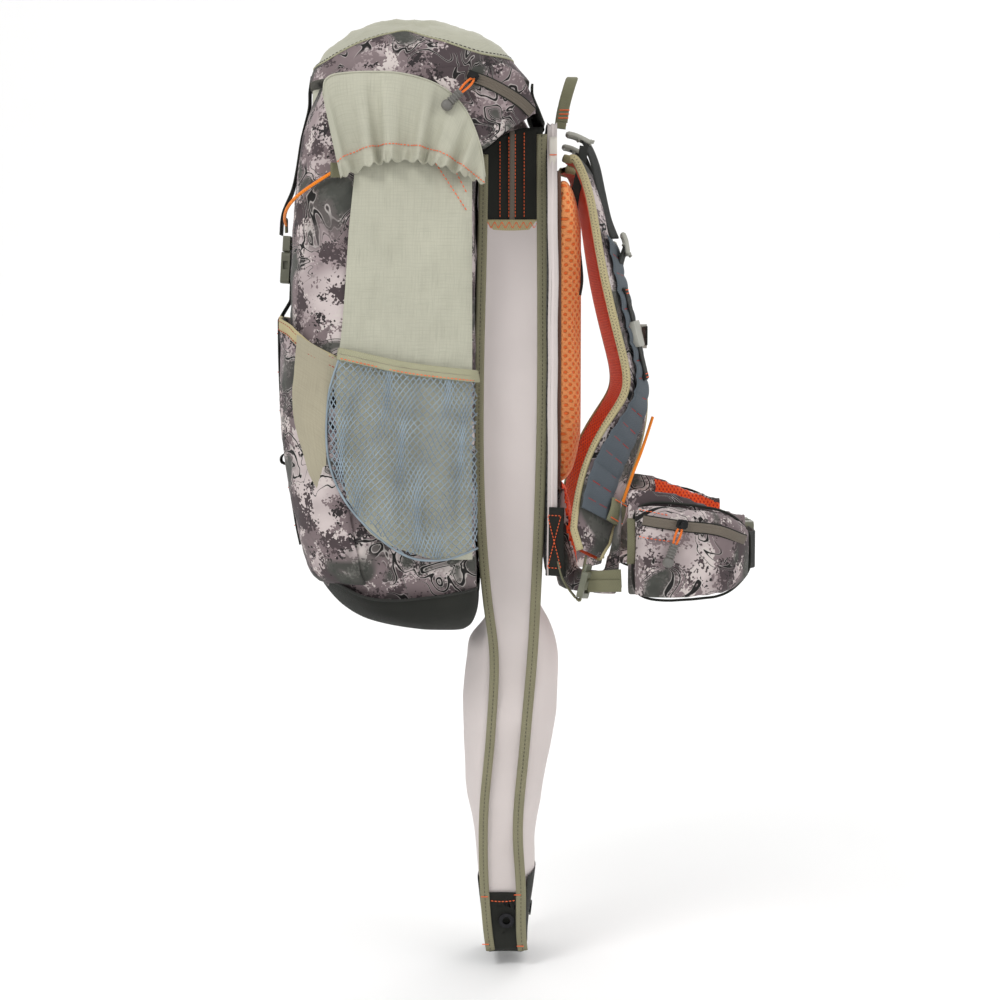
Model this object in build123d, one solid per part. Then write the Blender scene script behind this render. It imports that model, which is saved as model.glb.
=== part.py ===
"""Hunting backpack with a drop-down rifle scabbard between the bag and the harness.

Frame, in millimetres: the origin is the inside top of the haul loop, where a hook carries the pack.
+X points from the pack towards the wearer's front, +Y to the wearer's left, +Z up.
"Right" is the wearer's right, at negative Y.
"""

from build123d import *
import math
import os

# ---- cloth, foam and webbing ----
WALL = 4.0            # padded wall of the bag
CLOTH = 3.0           # sewn sleeve or pocket cloth with its lining
WEB_T = 1.6           # webbing thickness
GAP = 0.4             # room between soft layers
STRAP_WEB = 25.0      # width of the lid and front webbing
LOWER_WEB = 20.0      # width of the shoulder straps' lower webbing
BELT_WEB = 38.0       # width of the hip belt webbing
STERNUM_WEB = 20.0    # width of the sternum webbing

# ---- bag: sections are (z, front x, half width) ----
BAG_BACK_X = -96.0
BAG_SECTIONS = [(-18, -264, 138), (-90, -286, 148), (-245, -291, 151), (-400, -286, 151), (-515, -254, 142)]
FRONT_RADIUS = 62.0
BACK_RADIUS = 18.0
PANEL_SEAM_FRONT = -230.0   # x of the seam between front and side panels
PANEL_SEAM_BACK = -116.0    # x of the seam between side and back panels
BASE_SECTIONS = [(-515, -262, 143), (-541, -205, 128), (-556, -150, 98)]

# ---- front stash pocket, a layer outside the lower front ----
STASH_TOP, STASH_BOTTOM = -246.0, -508.0
STASH_SIDE_TOP = -272.0
STASH_DEPTH = 10.0
STASH_EDGE_X = -246.0

# ---- mesh side pocket outline, x and z ----
MESH_OUTLINE = [(-231, -281), (-98, -304), (-98, -471), (-134, -482), (-173, -475), (-221, -432),
                (-243, -385), (-243, -325)]
MESH_IN, MESH_OUT = 152.6, 171.0
MESH_SKIN = 2.5

# ---- lid: sections are (z, front x, rear x, half width) ----
LID_HINGE = (-41.0, -15.0)  # x and z of the fold line
LID_SECTIONS = [(-14, -270, -41, 158), (2, -267, -54, 153), (24, -254, -74, 140), (45, -232, -104, 113),
                (59, -206, -138, 74), (64.5, -192, -156, 40)]
SKIRT_OUTLINE = [(-246, -14), (-229, -110), (-205, -99), (-170, -95), (-130, -101), (-92, -118),
                 (-92, -82), (-52, -54), (-43, -40), (-43, -14.5)]
SKIRT_IN = 154.0
LID_FLOOR_Z = -10.0
ZIP_T = 1.6
PULL_PIN_R, PIN_CLEARANCE = 1.6, 0.06

# ---- collar inside the mouth ----
COLLAR_TOP, COLLAR_BOTTOM = -20.0, -62.0

# ---- scabbard: sections are (z, x towards the bag, x towards the wearer, half width) ----
SCABBARD_TOP, CUFF_BOTTOM, SLEEVE_BOTTOM = -56.0, -141.0, -530.0
SCABBARD_X = (-92.0, -33.0)
SCABBARD_HALF = 97.0
SCABBARD_RADIUS = 12.0
DROP_HINGE = (-62.0, -535.0)
DROP_SECTIONS = [(-540, -90, -34, 94), (-560, -96, -24, 90), (-580, -115, -18, 86), (-685, -113, -23, 74),
                 (-800, -99, -36, 60)]
BOOT_SECTIONS = [(-800, -99, -36, 60), (-850, -95, -43, 53), (-905, -92, -50, 47)]
EYELET_Z = -868.0
EYELET_R = 4.0
EYELET_FLANGE_R = 8.0

# ---- frame and back panel ----
BACK_X = (-31.0, -21.0)
BACK_TOP, BACK_BOTTOM, BACK_HALF = -52.0, -500.0, 128.0
PAD_FACE_X = 3.0
PAD_Y = (36.0, 108.0)
PAD_TOP, PAD_BOTTOM = -106.0, -410.0

# ---- shoulder strap stations for the wearer's right: (x, y, z, cant in degrees) ----
STRAP_STATIONS = [(-9, -58, -86, 4), (6, -61, -92, 6), (18, -72, -122, 10), (27, -86, -168, 14),
                  (36, -97, -212, 18), (48.5, -97, -264, 18), (60, -97, -312, 18), (57, -100, -336, 31),
                  (46, -108, -362, 43), (31.5, -121, -392, 50), (20.5, -136, -422, 50),
                  (13.5, -150, -452, 47), (11, -162, -476, 42)]
STRAP_WIDTH, STRAP_END_WIDTH, STRAP_T = 60.0, 46.0, 13.0

# ---- sternum strap ----
RAIL_STATION = 5             # strap station at the middle of the rail
RAIL_LENGTH, RAIL_WIDTH = 92.0, 14.0
RAIL_CLEARANCE = 0.4
STERNUM_X = 71.4

# ---- hip belt ----
BELT_TOP, BELT_BOTTOM = -408.0, -520.0
BELT_NECK_TOP = -493.0
BELT_T = 14.0
WING_HINGE = (44.0, -157.0)    # x and y of the right wing's fold line
BUCKLE_X = 182.0               # x of the hip belt's buckle and its webbing
BUCKLE_Z = -478.0


def sheet(points):
    """A flat face inside a closed run of straight lines through 3D points."""
    return make_face(Polyline(*points, close=True))


def plate_y(outline, y_low, y_high):
    """An outline in x and z, extruded from y_low to y_high."""
    face = sheet([(x, y_low, z) for x, z in outline])
    return extrude(face, amount=y_high - y_low, dir=(0, 1, 0))


def plate_z(outline, z_low, z_high):
    """An outline in x and y, extruded from z_low to z_high."""
    face = sheet([(x, y, z_low) for x, y in outline])
    return extrude(face, amount=z_high - z_low, dir=(0, 0, 1))


def block(x, y, z):
    """A box from (low, high) pairs."""
    size = [high - low for low, high in (x, y, z)]
    return Pos(*[(low + high) / 2 for low, high in (x, y, z)]) * Box(*size)


def band(path, thickness):
    """Outline of a strip of even thickness that follows a run of 2D points."""
    left, right = [], []
    for i, (a, b) in enumerate(path):
        before, after = path[max(i - 1, 0)], path[min(i + 1, len(path) - 1)]
        da, db = after[0] - before[0], after[1] - before[1]
        run = math.hypot(da, db)
        na, nb = -db / run * thickness / 2, da / run * thickness / 2
        left.append((a + na, b + nb))
        right.append((a - na, b - nb))
    return left + right[::-1]


def d_section(z, front, back, half, front_radius=FRONT_RADIUS, back_radius=BACK_RADIUS):
    """A rounded rectangle across the pack with bigger corners in front."""
    face = Rectangle(back - front, 2 * half)
    limit = 0.96 * min((back - front) / 2, half)
    sides = face.vertices().group_by(Axis.X)
    face = fillet(sides[0], min(front_radius, limit))
    face = fillet(face.vertices().group_by(Axis.X)[-1], min(back_radius, limit))
    return Pos((front + back) / 2, 0, z) * face


def tube(sections, grow=0.0, **corners):
    """A solid through sections (z, front x, back x, half width), each grown outwards."""
    faces = []
    for z, front, back, half in sections:
        faces.append(d_section(z, front - grow, back + grow, half + grow, **corners))
    return loft(faces, ruled=True)


def mirrored(shape):
    """The same piece on the wearer's other side."""
    return mirror(shape, about=Plane.XZ)


def frame_at(origin, along, across):
    """A location whose x runs along, and whose y runs as near across as it can."""
    x = Vector(*along).normalized()
    z = x.cross(Vector(*across)).normalized()
    return Plane(origin=origin, x_dir=x, z_dir=z).location


# ---- bag ----
def bag_sections(sections=BAG_SECTIONS):
    return [(z, front, BAG_BACK_X, half) for z, front, half in sections]


def bag_panels():
    """Front, back and side panels of the main compartment, cut apart at their seams."""
    shell = tube(bag_sections()) - tube(bag_sections(), -WALL)
    top, bottom = BAG_SECTIONS[0][0] + 1, BAG_SECTIONS[-1][0] - 1
    high = (bottom, top)
    front = shell & block((-320, PANEL_SEAM_FRONT), (-200, 200), high)
    back = shell & block((PANEL_SEAM_BACK, -80), (-200, 200), high)
    right = shell & block((PANEL_SEAM_FRONT, PANEL_SEAM_BACK), (-200, 0), high)
    return {"bag_front_panel": front, "bag_back_panel": back,
            "bag_side_right": right, "bag_side_left": mirrored(right)}


def bag_base():
    """The hard-wearing base, a shallow tray that slopes down towards the wearer."""
    outer = [(z, front, BAG_BACK_X - (0 if z > -550 else 12), half) for z, front, half in BASE_SECTIONS]
    inner = [(z + (WALL if i else 0), front, back, half) for i, (z, front, back, half) in enumerate(outer)]
    return tube(outer, front_radius=50) - tube(inner, -WALL, front_radius=50)


def front_stash_pocket():
    """A layer round the lower front, open along its sloping top edge."""
    levels = [s for s in BAG_SECTIONS if STASH_BOTTOM < s[0] < STASH_TOP]
    ends = [(STASH_TOP + 2, -291, 151), *levels, (STASH_BOTTOM, -256, 142.6)]
    around = [(z, front, BAG_BACK_X, half) for z, front, half in ends]
    deep = [(z, front - STASH_DEPTH, back, half) for z, front, back, half in around]
    outer = tube([(z, f - CLOTH, b, h + CLOTH) for z, f, b, h in deep])
    inner = tube([(z, f, b, h + GAP) for z, f, b, h in deep])
    floor_z = STASH_BOTTOM + CLOTH
    pocket = outer - (inner & block((-330, -60), (-200, 200), (floor_z, -200)))
    pocket -= tube(bag_sections(), GAP)
    slope = [(-330, STASH_TOP), (-285, STASH_TOP), (STASH_EDGE_X + 2, STASH_SIDE_TOP),
            (STASH_EDGE_X + 2, -200), (-330, -200)]
    pocket -= plate_y(slope, -200, 200)
    return pocket & block((-330, STASH_EDGE_X), (-200, 200), (STASH_BOTTOM, -200))


def mesh_pocket_right():
    """Bulging pocket of knitted mesh on the side, open at the top."""
    outer = plate_y(MESH_OUTLINE, -MESH_OUT, -MESH_IN)
    face = outer.faces().sort_by(Axis.Y)[0]
    outer = chamfer(face.edges().sort_by(Axis.Z)[:-1], 9)
    middle = (-170.0, -380.0)
    inset = [(x + (middle[0] - x) * 0.12, z + (middle[1] - z) * 0.09) for x, z in MESH_OUTLINE]
    inset[0], inset[1] = (inset[0][0], -270), (inset[1][0], -290)
    return outer - plate_y(inset, -MESH_OUT + MESH_SKIN, -MESH_IN + 1)


def collar():
    """Fabric throat inside the mouth, gathered by its drawcord."""
    levels = [(COLLAR_BOTTOM, -272, BAG_BACK_X, 140), (COLLAR_TOP, -262, BAG_BACK_X, 134)]
    inner = [(z + d, f, b, h) for (z, f, b, h), d in zip(levels, (-1, 1))]
    return tube(levels, -WALL - GAP) - tube(inner, -WALL - GAP - 1.8)


def collar_drawcord():
    """The drawcord round the throat's edge and the body of the cord lock on it."""
    ring = [(-34, -266, BAG_BACK_X, 136), (-31, -265.5, BAG_BACK_X, 136)]
    outside, inside = tube(ring, -WALL - 3.4), [(z + d, f, b, h) for (z, f, b, h), d in zip(ring, (-1, 1))]
    cord = outside - tube(inside, -WALL - 6.0)
    lock = Pos(-244, 0, -32.5) * Cylinder(7, 18, rotation=(0, 90, 0))
    lock -= Pos(-238.9, 0, -32.5) * Cylinder(4.9, 14, rotation=(0, 90, 0))
    lock = chamfer(lock.edges().filter_by(GeomType.CIRCLE).sort_by(Axis.X)[0], 1)
    return Compound([cord, lock])


def cord_lock_button():
    """The plunger that the thumb presses to free the drawcord."""
    stem = Pos(-236.25, 0, -32.5) * Cylinder(4.4, 10.5, rotation=(0, 90, 0))
    cap = Pos(-229.5, 0, -32.5) * Cylinder(5.8, 3, rotation=(0, 90, 0))
    return stem + cap


# ---- lid ----
def lid_shell():
    """The domed lid pocket."""
    inner = [(z - (1 if i == 0 else WALL), f, b, h) for i, (z, f, b, h) in enumerate(LID_SECTIONS)]
    return tube(LID_SECTIONS, back_radius=34) - tube(inner, -WALL, back_radius=34)


def lid_floor():
    """The floor of the lid pocket."""
    level = [(LID_FLOOR_Z, -268, -47, 155), (LID_FLOOR_Z + CLOTH, -267.5, -50, 154)]
    return tube(level, -WALL - GAP, back_radius=34)


def lid_skirts():
    """The elasticated side flaps that hang over the bag's sides."""
    right = plate_y(SKIRT_OUTLINE, -SKIRT_IN - WALL, -SKIRT_IN)
    return Compound([right, mirrored(right)])


LID_ZIP = frame_at((-102, -SKIRT_IN - WALL - 0.2, -16), (1, 0, -0.5), (0, 0, 1))
LID_ZIP_LENGTH = 46.0


def zipper(length):
    """Zip tape with its coil, along local x, facing local z."""
    tape = Pos(length / 2, 0, ZIP_T / 2) * Box(length + 14, 18, ZIP_T)
    coil = Pos(length / 2, 0, ZIP_T + 0.9) * Box(length + 13, 4.4, 1.8)
    return tape + coil


def zip_slider():
    """Zip slider that straddles the coil, with a headed pin for the pull."""
    body = Pos(0, 0, ZIP_T + 2.5) * Box(11, 9, 4)
    body = chamfer(body.edges().filter_by(Axis.Z), 2)
    body -= Pos(0, 0, ZIP_T + 1.0) * Box(14, 5.4, 2.8)
    post = Pos(0, 0, ZIP_T + 6.6) * Cylinder(PULL_PIN_R, 4.4)
    cap = Pos(0, 0, ZIP_T + 9.2) * Cylinder(PULL_PIN_R + 1, 0.9)
    return body + post + cap


def zip_pull(length, angle):
    """Cord loop and moulded toggle that hang from the slider's pin, at an angle from local x."""
    z = ZIP_T + 7.0
    pull = Cylinder(3.6, 2.2)
    for side in (-1, 1):
        pull += Pos(length * 0.3, side * 2.4, 0) * Cylinder(1.1, length * 0.52, rotation=(0, 90, 0))
    pull -= Cylinder(PULL_PIN_R + PIN_CLEARANCE, 6)
    pull += Pos(length * 0.66, 0, 0) * Cylinder(4.6, length * 0.3, rotation=(0, 90, 0))
    for i in range(4):
        ring = Cylinder(6, 1.3, rotation=(0, 90, 0)) - Cylinder(3.7, 1.3, rotation=(0, 90, 0))
        pull -= Pos(length * (0.555 + 0.065 * i), 0, 0) * ring
    pull += Pos(length * 0.86, 0, 0) * Sphere(5.8)
    return Pos(0, 0, z) * Rot(0, 0, angle) * pull


# ---- buckles ----
def buckle_female(width, length, thick):
    """Socket half: mouth at local x 0, web bar at its far end, with side windows for the catches."""
    shell = Pos(length / 2, 0, 0) * Box(length, width, thick)
    shell = fillet(shell.edges().filter_by(Axis.Z), width * 0.12)
    shell -= Pos(length * 0.33, 0, 0) * Box(length * 0.68, width - 4.4, thick - 3.6)
    shell -= Pos(length * 0.42, 0, 0) * Box(length * 0.26, width + 4, thick - 4.2)
    shell -= Pos(length * 0.87, 0, 0) * Box(3.2, width - 5, thick + 4)
    return shell


def buckle_male(width, length, thick):
    """Tongue half: catches reach into the socket, two web slots behind."""
    grip = Pos(-length * 0.27, 0, 0) * Box(length * 0.5, width, thick - 1.6)
    grip = fillet(grip.edges().filter_by(Axis.Z), width * 0.08)
    for x in (-0.16, -0.36):
        grip -= Pos(length * x, 0, 0) * Box(3.2, width - 6, thick + 4)
    reach = length * 0.62
    spine = Pos(reach / 2 - 1, 0, 0) * Box(reach - 2, width * 0.2, thick - 4.6)
    arm = Pos(reach / 2 - 1, width * 0.5 - 4.4, 0) * Box(reach - 2, 3, thick - 4.8)
    return grip + spine + arm + mirror(arm, about=Plane.XZ)


def ladder_lock(width, length=24.0, thick=5.0):
    """Web adjuster: a frame with two slots and a lifted lip."""
    plate = Box(length, width + 9, thick)
    plate = fillet(plate.edges().filter_by(Axis.Z), 3.5)
    for x in (-0.24, 0.22):
        plate -= Pos(length * x, 0, 0) * Box(3.6, width + 1, thick + 4)
    lip = Pos(length * 0.5 + 3, 0, 1.6) * Box(8, width + 3, 2)
    return plate + fillet(lip.edges().filter_by(Axis.Z), 2)


# ---- ribbons that follow a shoulder strap ----
def station_frame(stations, i):
    """Centre, and directions along, across (outer edge to inner edge) and outward, at a station."""
    x, y, z, cant = stations[i]
    ahead, behind = stations[min(i + 1, len(stations) - 1)], stations[max(i - 1, 0)]
    along = (Vector(*ahead[:3]) - Vector(*behind[:3])).normalized()
    turn = math.radians(cant)
    across = Vector(math.sin(turn), math.cos(turn), 0)
    outward = across.cross(along).normalized() * -1
    if outward.X < 0 and i > 1 or outward.Z < 0 and i <= 1:
        outward = outward * -1
    across = outward.cross(along).normalized()
    return Vector(x, y, z), along, across, outward


def ribbon(stations, first, last, widths, thick, lift=0.0, shift=0.0):
    """A strip along stations first to last, lifted off their centreline along its outward normal."""
    faces = []
    for i in range(first, last + 1):
        centre, along, across, outward = station_frame(stations, i)
        plane = Plane(origin=centre + outward * lift + across * shift, x_dir=across, z_dir=along)
        width = widths[0] + (widths[1] - widths[0]) * (i - first) / (last - first)
        faces.append(plane * RectangleRounded(width, thick, min(thick * 0.42, 5)))
    return loft(faces, ruled=True)


DAISY_LIFT = STRAP_T / 2 + WEB_T / 2 + GAP
RAIL_LIFT = DAISY_LIFT + WEB_T / 2 + 3.6


def shoulder_strap():
    """Padded shoulder strap, narrower towards its lower end."""
    return ribbon(STRAP_STATIONS, 0, len(STRAP_STATIONS) - 1, (STRAP_WIDTH, STRAP_END_WIDTH), STRAP_T)


def rail_frame():
    """Middle of the sternum rail: local x down the rail, y towards the breastbone, z outwards."""
    centre, along, across, outward = station_frame(STRAP_STATIONS, RAIL_STATION)
    return Plane(origin=centre + outward * RAIL_LIFT, x_dir=along, z_dir=outward).location


def strap_webbing():
    """Daisy-chain webbing down the outer face and the straight rail that the sternum slider rides on."""
    daisy = ribbon(STRAP_STATIONS, 3, 11, (38, 34), WEB_T, DAISY_LIFT, -2) - shoulder_strap()
    rail = Box(RAIL_LENGTH, RAIL_WIDTH, WEB_T)
    for end in (-1, 1):
        rail += Pos(end * (RAIL_LENGTH / 2 - 3), 0, -1.9) * Box(6, RAIL_WIDTH, 2.4)
    rail = rail_frame() * rail - daisy
    return Compound([daisy, rail, bungee_keeper() - daisy, *lower_strap_webbing().solids()])


LIFTER_STATIONS = [(-6, -64, -64, 0), (12, -66, -72, 2), (27, -72, -96, 6), (36.5, -78, -130, 9),
                   (42.5, -82.5, -160, 12)]


def load_lifter():
    """Load lifter webbing with its adjuster and the ring that anchors it on the strap."""
    web = ribbon(LIFTER_STATIONS, 1, 4, (LOWER_WEB, LOWER_WEB), WEB_T, 2.6)
    lock = frame_at((3, -65, -66), (0.92, 0, -0.4), (0, 1, 0)) * ladder_lock(LOWER_WEB)
    ring = frame_at((48.5, -83.5, -172), (0.2, 0, -0.98), (0, 1, 0))
    plate = ring * (Box(22, 30, 4) - Pos(-5, 0, 0) * Box(4, 21, 8) - Pos(5, 0, 0) * Box(4, 21, 8))
    return Compound([web, lock, plate])


def strap_bungee():
    """Elastic cord down the strap's inner edge that holds a hose."""
    points = []
    for i in (7, 8, 9, 10):
        centre, _, across, outward = station_frame(STRAP_STATIONS, i)
        points.append(centre + across * 22 + outward * (STRAP_T / 2 + 4 + WEB_T))
    return cord(points, 1.5)


def bungee_keeper():
    """The sewn webbing loop that the elastic cord ends in."""
    centre, along, across, outward = station_frame(STRAP_STATIONS, 10)
    place = frame_at(centre + across * 16 + outward * (STRAP_T / 2 + 5 + WEB_T), along, across)
    keeper = place * (Pos(10.2, 0, 0) * Box(20, 20, 5))
    return keeper - shoulder_strap()


# ---- sternum strap ----
def sternum_slider():
    """Slider that rides on the strap's rail, with the tab that holds the chest webbing."""
    body = Pos(0, 0, 0.2) * Box(26, 24, 6)
    body = fillet(body.edges().filter_by(Axis.Z), 3)
    body += Pos(0, 15.5, -0.6) * Box(20, 9, 3)
    room = 2 * RAIL_CLEARANCE
    body -= Box(40, RAIL_WIDTH + room, WEB_T + room)
    return rail_frame() * body


def sternum_parts():
    """Sliders, chest webbing and the small side-release buckle between them."""
    slider = sternum_slider()
    centre = rail_frame().position
    z, tab_y = centre.Z - 1.5, centre.Y + 17
    web_x = (STERNUM_X - WEB_T / 2, STERNUM_X + WEB_T / 2)
    height = (z - STERNUM_WEB / 2, z + STERNUM_WEB / 2)
    right_web = block(web_x, (tab_y, -20.3), height)
    right_web += block((STERNUM_X - 3.4, STERNUM_X), (tab_y, tab_y + 4), height)
    left_web = block(web_x, (20.0, -tab_y), height)
    place = frame_at((STERNUM_X, 6, z), (0, -1, 0), (0, 0, 1))
    return {"sternum_slider_right": slider, "sternum_slider_left": mirrored(slider),
            "sternum_webbing_right": right_web - slider, "sternum_webbing_left": left_web,
            "sternum_buckle_female": place * buckle_female(25, 26, 9),
            "sternum_buckle_male": place * buckle_male(25, 26, 9)}


# ---- back, frame and haul loop ----
def back_panel():
    """Fabric back of the pack with a sleeve, open at the top, for the sheet and stays."""
    outline = [(-BACK_HALF, BACK_BOTTOM), (BACK_HALF, BACK_BOTTOM), (BACK_HALF, -150), (88, BACK_TOP),
               (-88, BACK_TOP), (-BACK_HALF, -150)]
    face = sheet([(BACK_X[0], y, z) for y, z in outline])
    panel = extrude(face, amount=BACK_X[1] - BACK_X[0], dir=(1, 0, 0))
    return panel - block((-29.2, -23.0), (-82, 82), (-481, 0))


def frame_sheet():
    return block((-29.0, -27.0), (-80, 80), (-480, -58))


def frame_stays():
    bar = block((-26.8, -23.8), (-62, -37), (-478, -62))
    bar = chamfer(bar.edges().filter_by(Axis.X), 8)
    return Compound([bar, mirrored(bar)])


def back_pads():
    """Two long foam pads covered in spacer mesh, with an air channel between them."""
    right = block((BACK_X[1] + GAP, PAD_FACE_X), (-PAD_Y[1], -PAD_Y[0]), (PAD_BOTTOM, PAD_TOP))
    front = right.faces().sort_by(Axis.X)[-1]
    right = fillet(front.edges(), 9)
    return Compound([right, mirrored(right)])


def haul_loop():
    """Doubled webbing loop that stands behind the lid and carries the pack on a hook."""
    outer, inner, lean = 33.0, 30.0, 13.0
    depth, leg = 12.0, 45.0
    bow = Pos(0, 0, 3 - 14) * Cylinder(14, depth, rotation=(90, 0, 0))
    profile = [(-outer, -leg), (-outer, -8), (-outer + 11, 3), (outer - 11, 3), (outer, -8), (outer, -leg)]
    hole = [(-inner, -leg - 1), (-inner, -9.2), (-inner + 9.5, 0), (inner - 9.5, 0), (inner, -9.2),
            (inner, -leg - 1)]
    face = sheet([(-depth / 2, y, z) for y, z in profile])
    loop = extrude(face, amount=depth, dir=(1, 0, 0))
    cut = sheet([(-depth / 2 - 1, y, z) for y, z in hole])
    loop -= extrude(cut, amount=depth + 2, dir=(1, 0, 0))
    return Rot(0, lean, 0) * loop


def lid_yoke():
    """The strip of cloth that joins the lid's fold line to the top of the back panel."""
    rise = band([(-31.5, -52), (-37, -42), (-43, -28), (-43, -17.5)], CLOTH)
    bar = plate_y(rise, -116, 116)
    foot = block((-33, -13.5), (-36, 36), (-51.8, -47.5))
    return bar + foot


# ---- scabbard ----
def scabbard_piece(sections, radius):
    """A flat tube of cloth through sections."""
    corners = {"front_radius": radius, "back_radius": radius}
    ends = [(z + (1 if i == 0 else -1 if i == len(sections) - 1 else 0), f, b, h)
            for i, (z, f, b, h) in enumerate(sections)]
    return tube(sections, **corners) - tube(ends, -CLOTH, **corners)


def scabbard_upper(top, bottom):
    ends = [(z, *SCABBARD_X, SCABBARD_HALF) for z in (top, bottom)]
    return scabbard_piece(ends, SCABBARD_RADIUS)


def eyelet_places():
    """Middle of the wall and outward direction for the two drain eyelets in the boot."""
    (z0, _, back0, half0), (z1, _, back1, half1) = BOOT_SECTIONS[1:]
    share = (EYELET_Z - z0) / (z1 - z0)
    side_slope, back_slope = (half0 - half1) / (z0 - z1), (back0 - back1) / (z0 - z1)
    side = Vector(0, -1, -side_slope).normalized()
    rear = Vector(1, 0, -back_slope).normalized()
    side_at = Vector(-69.5, -(half0 + (half1 - half0) * share), EYELET_Z) - side * (CLOTH / 2)
    rear_at = Vector(back0 + (back1 - back0) * share, 0, EYELET_Z) - rear * (CLOTH / 2)
    return [(side_at, side), (rear_at, rear)]


def scabbard_boot():
    """Closed, reinforced tip with two drain holes."""
    corners = {"front_radius": 14, "back_radius": 14}
    rise = (1, 0, CLOTH)
    inner = [(z + d, f, b, h) for (z, f, b, h), d in zip(BOOT_SECTIONS, rise)]
    boot = tube(BOOT_SECTIONS, **corners) - tube(inner, -CLOTH, **corners)
    for centre, out in eyelet_places():
        boot -= Plane(origin=centre, z_dir=out) * Cylinder(EYELET_R + 1.2, 16)
    return boot


def scabbard_eyelets():
    """Rolled metal eyelets that line the drain holes."""
    made = []
    for centre, out in eyelet_places():
        barrel = Cylinder(EYELET_R + 1.0, 5.4) + Pos(0, 0, 3.3) * Cylinder(EYELET_FLANGE_R, 1.2)
        barrel += Pos(0, 0, -3.3) * Cylinder(EYELET_FLANGE_R - 1, 1.2)
        ring = barrel - Cylinder(EYELET_R, 12)
        made.append(Plane(origin=centre, z_dir=out) * ring)
    return Compound(made)


# ---- hip belt ----
WING_PATH = [(46, -150), (80, -152), (115, -147), (145, -134), (168, -112)]
ROOT_PATH = [(-12, -30), (-12, -80), (-8, -100), (4, -115), (20, -127), (34, -141), (42.5, -150)]
WING_SIDE = [(44.5, -408), (90, -412), (140, -428), (185, -446), (185, -506), (140, -518), (44.5, -521)]


def belt_core():
    """Lumbar pad with the two stubs that the wings fold from."""
    right = plate_z(band(ROOT_PATH, BELT_T), BELT_BOTTOM, BELT_TOP - 4)
    neck = block((-40, WING_HINGE[0] - 0.5), (-200, -92), (BELT_BOTTOM - 1, BELT_NECK_TOP))
    right = (right & neck) + (right & block((-40, 10), (-92, 0), (BELT_BOTTOM - 1, BELT_TOP)))
    lumbar = block((-19, -5), (-30, 30), (BELT_BOTTOM, BELT_TOP - 4))
    return right + lumbar + mirrored(right)


def belt_wing():
    """Padded wing that wraps round the hip."""
    wing = plate_z(band(WING_PATH, BELT_T), BELT_BOTTOM - 5, BELT_TOP + 5)
    wing = wing & plate_y(WING_SIDE, -200, 0)
    return wing & block((WING_HINGE[0] + 0.5, 300), (-200, 0), (-600, -300))


POCKET_SIDE = [(52, -424), (112, -427), (150, -437), (172, -452), (174, -500), (150, -515), (104, -521),
               (52, -519)]
POCKET_FACE = ((70.0, -189.5), (146.0, -182.0))   # flat run of the pocket's outer face, x and y


def belt_pocket():
    """Zipped pocket on the wing: a shell that is open towards the wing, and its zip."""
    inner_curve = [(52, -158.8), (80, -160.2), (116, -155.2), (149, -141.8), (175, -116.8)]
    outer_curve = [(178, -128), (173, -150), (162, -168), POCKET_FACE[1], POCKET_FACE[0], (52, -186)]
    body = plate_z(inner_curve + outer_curve, -525, -420) & plate_y(POCKET_SIDE, -200, 0)
    hollow_in = [(56, -157), (80, -158.5), (114, -153.5), (146, -140), (170, -116)]
    hollow_out = [(172, -130), (168, -148), (158, -165), (144.5, -178.2), (70.5, -185.5), (56, -182.5)]
    side = [(x + (112 - x) * 0.07, z + (-472 - z) * 0.07) for x, z in POCKET_SIDE]
    shell = body - (plate_z(hollow_in + hollow_out, -525, -420) & plate_y(side, -200, 0))
    return Compound([shell, BELT_ZIP * zipper(BELT_ZIP_LENGTH)])


BELT_ZIP_LENGTH = 38.0
BELT_ZIP = frame_at((98, -186.94, -444), (76, 7.5, -10), (0, 0, 1)) * Pos(0, 0, 0.3)


def belt_buckle():
    """Both halves of the hip belt's side-release buckle."""
    place = frame_at((BUCKLE_X, 22, BUCKLE_Z), (0, -1, 0), (0, 0, 1))
    return place * buckle_female(46, 44, 12), place * buckle_male(46, 44, 12)


def belt_strap_right():
    """Webbing from the right wing's tip to the socket half of the buckle."""
    path = [(166, -103.5), (172, -97), (178, -87), (BUCKLE_X, -74), (BUCKLE_X, -22.4)]
    return plate_z(band(path, WEB_T), BUCKLE_Z - BELT_WEB / 2, BUCKLE_Z + BELT_WEB / 2)


def belt_strap_left():
    """Webbing that runs from the tongue half out over the left wing's tip."""
    height = (BUCKLE_Z - BELT_WEB / 2, BUCKLE_Z + BELT_WEB / 2)
    return block((BUCKLE_X - 0.8, BUCKLE_X + 0.8), (46, 118), height)


# ---- front closure ----
def front_line(offset, z_values):
    """Points that run down the bag's front, held off it."""
    return [(front_x(z) - offset, z) for z in z_values]


def front_x(z):
    """The x of the bag's front centreline, with the stash pocket over it below its top edge."""
    levels = [s[:2] for s in BAG_SECTIONS]
    for (z0, x0), (z1, x1) in zip(levels, levels[1:]):
        if z <= z0 and z >= z1:
            return x0 + (x1 - x0) * (z - z0) / (z1 - z0)
    return levels[0][1] if z > levels[0][0] else levels[-1][1]


LID_BUCKLE_Z = -176.0


def lid_buckle_place():
    """Mouth of the lid buckle's socket, with local x down the bag."""
    x = front_x(LID_BUCKLE_Z) - 8.5
    return frame_at((x, 0, LID_BUCKLE_Z), (-0.06, 0, -1), (0, 1, 0))


def lid_strap():
    """Webbing sewn to the lid's front edge, running down over the buckle's tongue."""
    path = [(-270.4, 0), (-272.6, -14)] + front_line(3.0, (-30, -60, -90))
    path += [(front_x(-112) - 5.5, -112), (front_x(-134) - 15.5, -134), (front_x(-160) - 15.5, -160)]
    return plate_y(band(path, WEB_T), -STRAP_WEB / 2, STRAP_WEB / 2)


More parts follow.
